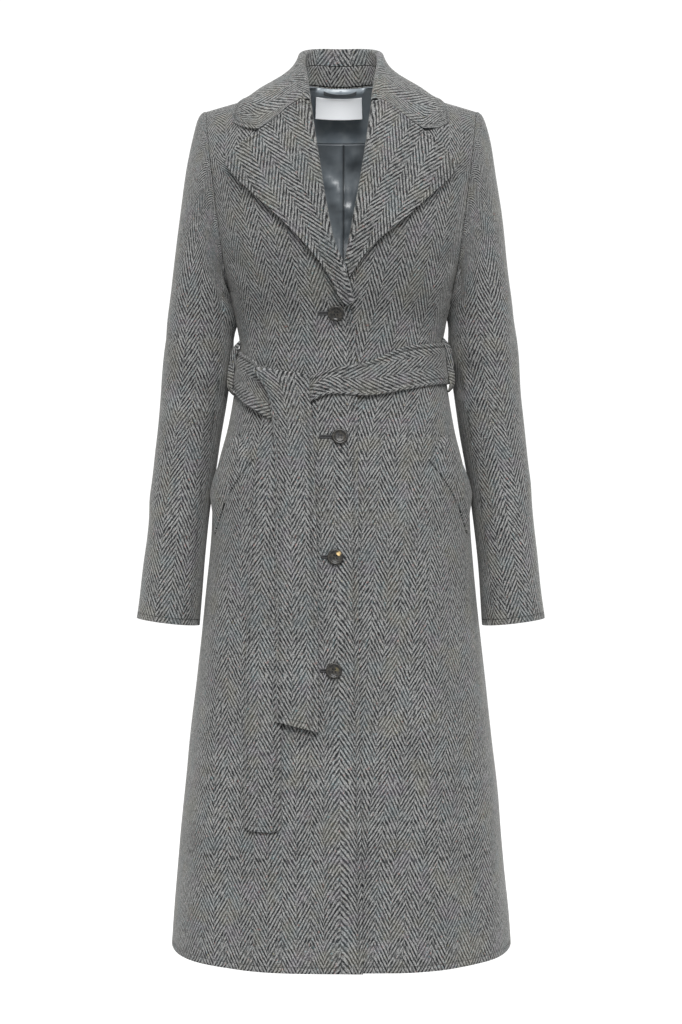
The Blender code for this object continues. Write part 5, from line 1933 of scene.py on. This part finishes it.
def make_satin(name, seamed=False):
    """Lining satin, plain or with the seam of its yoke and the fold of the pleat under it: the yoke above the
    seam is painted paler as painted light, with painted shade along the seam and in the pleat's fold.
    """
    material, tree, shader = plain(name, SATIN_DARK, 0.36)
    place, x, height = chart_of(tree)
    soft = smooth_step(tree, cloud(tree, place, SATIN_PATCHES, 3.0), 0.35, 0.65)
    colour = mixed(tree, soft, SATIN_DARK, SATIN_PALE)
    form = maths(tree, "MULTIPLY", cloud(tree, place, SATIN_GRAIN), 0.05)
    if seamed:
        seam = line_at(tree, height, YOKE_SEAM, SEAM_HALF_WIDTH)
        below = smooth_step(tree, height, YOKE_SEAM, YOKE_SEAM - YOKE_SHADE_SPAN)
        # painted light: the yoke above its seam is painted paler than the satin below
        colour = mixed(tree, below, scaled(tree, colour, YOKE_PAINTED_LIGHT), colour)
        fold = maths(tree, "MULTIPLY", line_at(tree, x, PLEAT_X, PLEAT_HALF_WIDTH), below)
        # painted shade along the yoke's seam and in the pleat's fold
        colour = mixed(tree, maths(tree, "MULTIPLY", seam, 0.55), colour, SEAM_SHADE)
        colour = mixed(tree, maths(tree, "MULTIPLY", fold, 0.85), colour, PLEAT_SHADE)
        form = maths(tree, "SUBTRACT", form, maths(tree, "MAXIMUM", seam, fold))
    finish(tree, shader, colour, bump(tree, form, 0.8, SATIN_DEPTH))
    shader.inputs["Sheen Weight"].default_value = 0.25
    shader.inputs["Anisotropic"].default_value = 0.4
    return material


def make_label_cloth(name):
    material, tree, shader = plain(name, LABEL_PALE, 0.6)
    place, _, _ = chart_of(tree)
    colour = mixed(tree, cloud(tree, place, LABEL_PATCHES), LABEL_DARK, LABEL_PALE)
    finish(tree, shader, colour, bump(tree, cloud(tree, place, LABEL_GRAIN), 0.3, LABEL_DEPTH))
    return material


def make_horn(name, patch, patch_x, patch_y):
    """Polished dark horn with four holes, which are dents painted near black as painted shade, and a paler
    patch where the horn is clear.
    """
    material, tree, shader = plain(name, HORN_DARK, 0.30)
    place, x, y = chart_of(tree)
    grain = smooth_step(tree, cloud(tree, place, HORN_GRAIN, 4.0), 0.4, 0.65)
    colour = mixed(tree, grain, HORN_DARK, HORN_STREAK)
    far = distance_to(tree, x, y, patch_x, patch_y)
    far = maths(tree, "ADD", far, strayed(tree, place, HORN_PATCH_EDGE, HORN_PATCH_RAGGED))
    colour = mixed(tree, smooth_step(tree, far, *HORN_PATCH_SPAN), colour, patch)
    off_x, off_y = maths(tree, "ABSOLUTE", x), maths(tree, "ABSOLUTE", y)
    hole = distance_to(tree, off_x, off_y, BUTTON_HOLE_X, BUTTON_HOLE_X)
    # the holes: dents in the bump, painted near black as painted shade
    hole_with_painted_shade = smooth_step(tree, hole, BUTTON_HOLE_RADIUS * 1.15, BUTTON_HOLE_RADIUS * 0.85)
    colour = mixed(tree, hole_with_painted_shade, colour, PAINTED_SHADE_BLACK)
    form = maths(tree, "MULTIPLY", cloud(tree, place, HORN_WAVES), 0.2)
    normal = bump(tree, maths(tree, "SUBTRACT", form, hole_with_painted_shade), 0.8, HORN_DEPTH)
    finish(tree, shader, colour, normal)
    shader.inputs["Specular IOR Level"].default_value = 0.28
    return material


def make_thread(name):
    """Close buttonhole stitches in dark thread, each painted paler at its middle as a painted highlight,
    round a slit painted near black as painted shade.
    """
    material, tree, shader = plain(name, THREAD_DARK, 0.7)
    _, along, side = chart_of(tree)
    stitch = maths(tree, "PINGPONG", along, THREAD_PITCH / 2)
    # painted highlight: each stitch is paler at its middle, where its crown would catch the light
    lit = smooth_step(tree, stitch, 0.0, THREAD_PITCH / 2)
    colour = mixed(tree, lit, THREAD_DARK, THREAD_LIT)
    slit = smooth_step(tree, maths(tree, "ABSOLUTE", side), *SLIT_SPAN)
    # the slit is painted near black as painted shade
    colour = mixed(tree, slit, colour, PAINTED_SHADE_BLACK)
    finish(tree, shader, colour, bump(tree, lit, 0.6, THREAD_DEPTH))
    return material


# --- Assembly ----------------------------------------------------------------------------------------------


def carry(piece, slot, *finishes):
    """Gives a piece its body and its finishes: the outer face's, then the lined inner face's. The slot is not
    used.
    """
    for material in finishes:
        piece.data.materials.append(material)
    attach(piece, BODY_NAME)


def dress(node, piece, slot, *finishes):
    """Lets a piece stand for a node of the frame, and hides that node."""
    carry(piece, slot, *finishes)
    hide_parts(node)


def dress_side(wearer, wool, satin):
    side = SIDES[wearer]
    dress(f"front_{side}", make_front(wearer), "wool", wool, satin)
    top = make_sleeve(wearer, "top", -SLEEVE_SEAM, SLEEVE_SEAM)
    dress(f"sleeve_top_{side}", top, "wool", wool, satin)
    under = make_sleeve(wearer, "under", SLEEVE_SEAM, 2 * math.pi - SLEEVE_SEAM)
    dress(f"sleeve_under_{side}", under, "wool", wool, satin)
    dress(f"lapel_{side}", make_lapel(wearer), "wool", wool)
    dress(f"belt_loop_{side}", make_loop(wearer), "wool", wool)
    dress(f"pocket_{side}", make_pocket(wearer), "wool", wool)


def dress_belt(wool):
    dress("belt_back", make_band("belt_back", BELT_BACK), "wool", wool)
    right = make_band("belt_front_right", BELT_RIGHT, BELT_RIGHT_PHASE)
    dress("belt_front_right", right, "wool", wool)
    left = make_band("belt_front_left", BELT_LEFT_AND_KNOT, edges=("left", "low", "high"))
    dress("belt_front_left", left, "wool", wool)
    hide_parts("belt_knot")
    dress("belt_tail_upper", make_tail_upper(), "wool", wool)
    dress("belt_tail_lower", make_tail_lower(), "wool", wool)


def dress_buttons():
    thread = make_thread("buttonhole_thread")
    for number, x, height in zip(*BUTTONS.values()):
        horn = make_horn(f"horn_{number}", *HORN_PATCH[number])
        dress(f"button_{number}", make_button(number, x, height), "horn", horn)
        carry(make_buttonhole(number, x, height), "wool", thread)


def make_coat():
    wool = make_wool("herringbone_wool")
    satin = make_satin("lining_satin_cloth")
    dress("back", make_back(), "wool", wool, satin)
    for wearer in SIDES:
        dress_side(wearer, wool, satin)
    dress("collar_fall", make_collar_fall(), "wool", wool)
    dress("collar_stand", make_collar_stand(), "wool", wool)
    dress_belt(wool)
    dress_buttons()
    dress("lining", make_lining(), "lining", make_satin("yoke_and_pleat_satin", seamed=True))
    dress("label", make_label(), "label", make_label_cloth("label_cloth"))
    dress("hanger_loop", make_hanger_loop(), "lining", satin)


# --- Room --------------------------------------------------------------------------------------------------


def add_light(name, strength, spread, height, turn):
    """A broad, far light: how high it stands and how far round from the front, in degrees."""
    lamp = bpy.data.lights.new(name, "SUN")
    lamp.energy, lamp.angle = strength, math.radians(spread)
    light = bpy.data.objects.new(name, lamp)
    light.rotation_euler = math.radians(90 - height), 0.0, math.radians(turn)
    bpy.context.scene.collection.objects.link(light)


def make_floor():
    bm = bmesh.new()
    bmesh.ops.create_circle(bm, cap_ends=True, segments=64, radius=FLOOR_RADIUS)
    bmesh.ops.translate(bm, verts=bm.verts[:], vec=(0, 0, FLOOR_HEIGHT))
    floor = add_piece("studio_floor", bm)
    floor.data.materials.append(plain("floor_paint", FLOOR_GREY, 0.9)[0])


def make_world():
    world = bpy.data.worlds.new("studio")
    bpy.context.scene.world = world
    world.use_nodes = True
    air = world.node_tree.nodes["Background"]
    air.inputs["Color"].default_value = (1.0, 1.0, 1.0, 1.0)
    air.inputs["Strength"].default_value = WORLD_STRENGTH


def place_camera():
    lens = bpy.data.cameras.new("camera")
    lens.lens, lens.sensor_width, lens.sensor_fit = LENS, SENSOR, "AUTO"
    camera = bpy.data.objects.new("camera", lens)
    camera.location = CAMERA_PLACE
    camera.rotation_euler = (QUARTER, 0.0, 0.0)
    bpy.context.scene.collection.objects.link(camera)
    bpy.context.scene.camera = camera


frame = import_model()
make_coat()
make_floor()
make_world()
for light in LIGHTS:
    add_light(*light)
place_camera()
bpy.context.scene.view_settings.view_transform = "Standard"
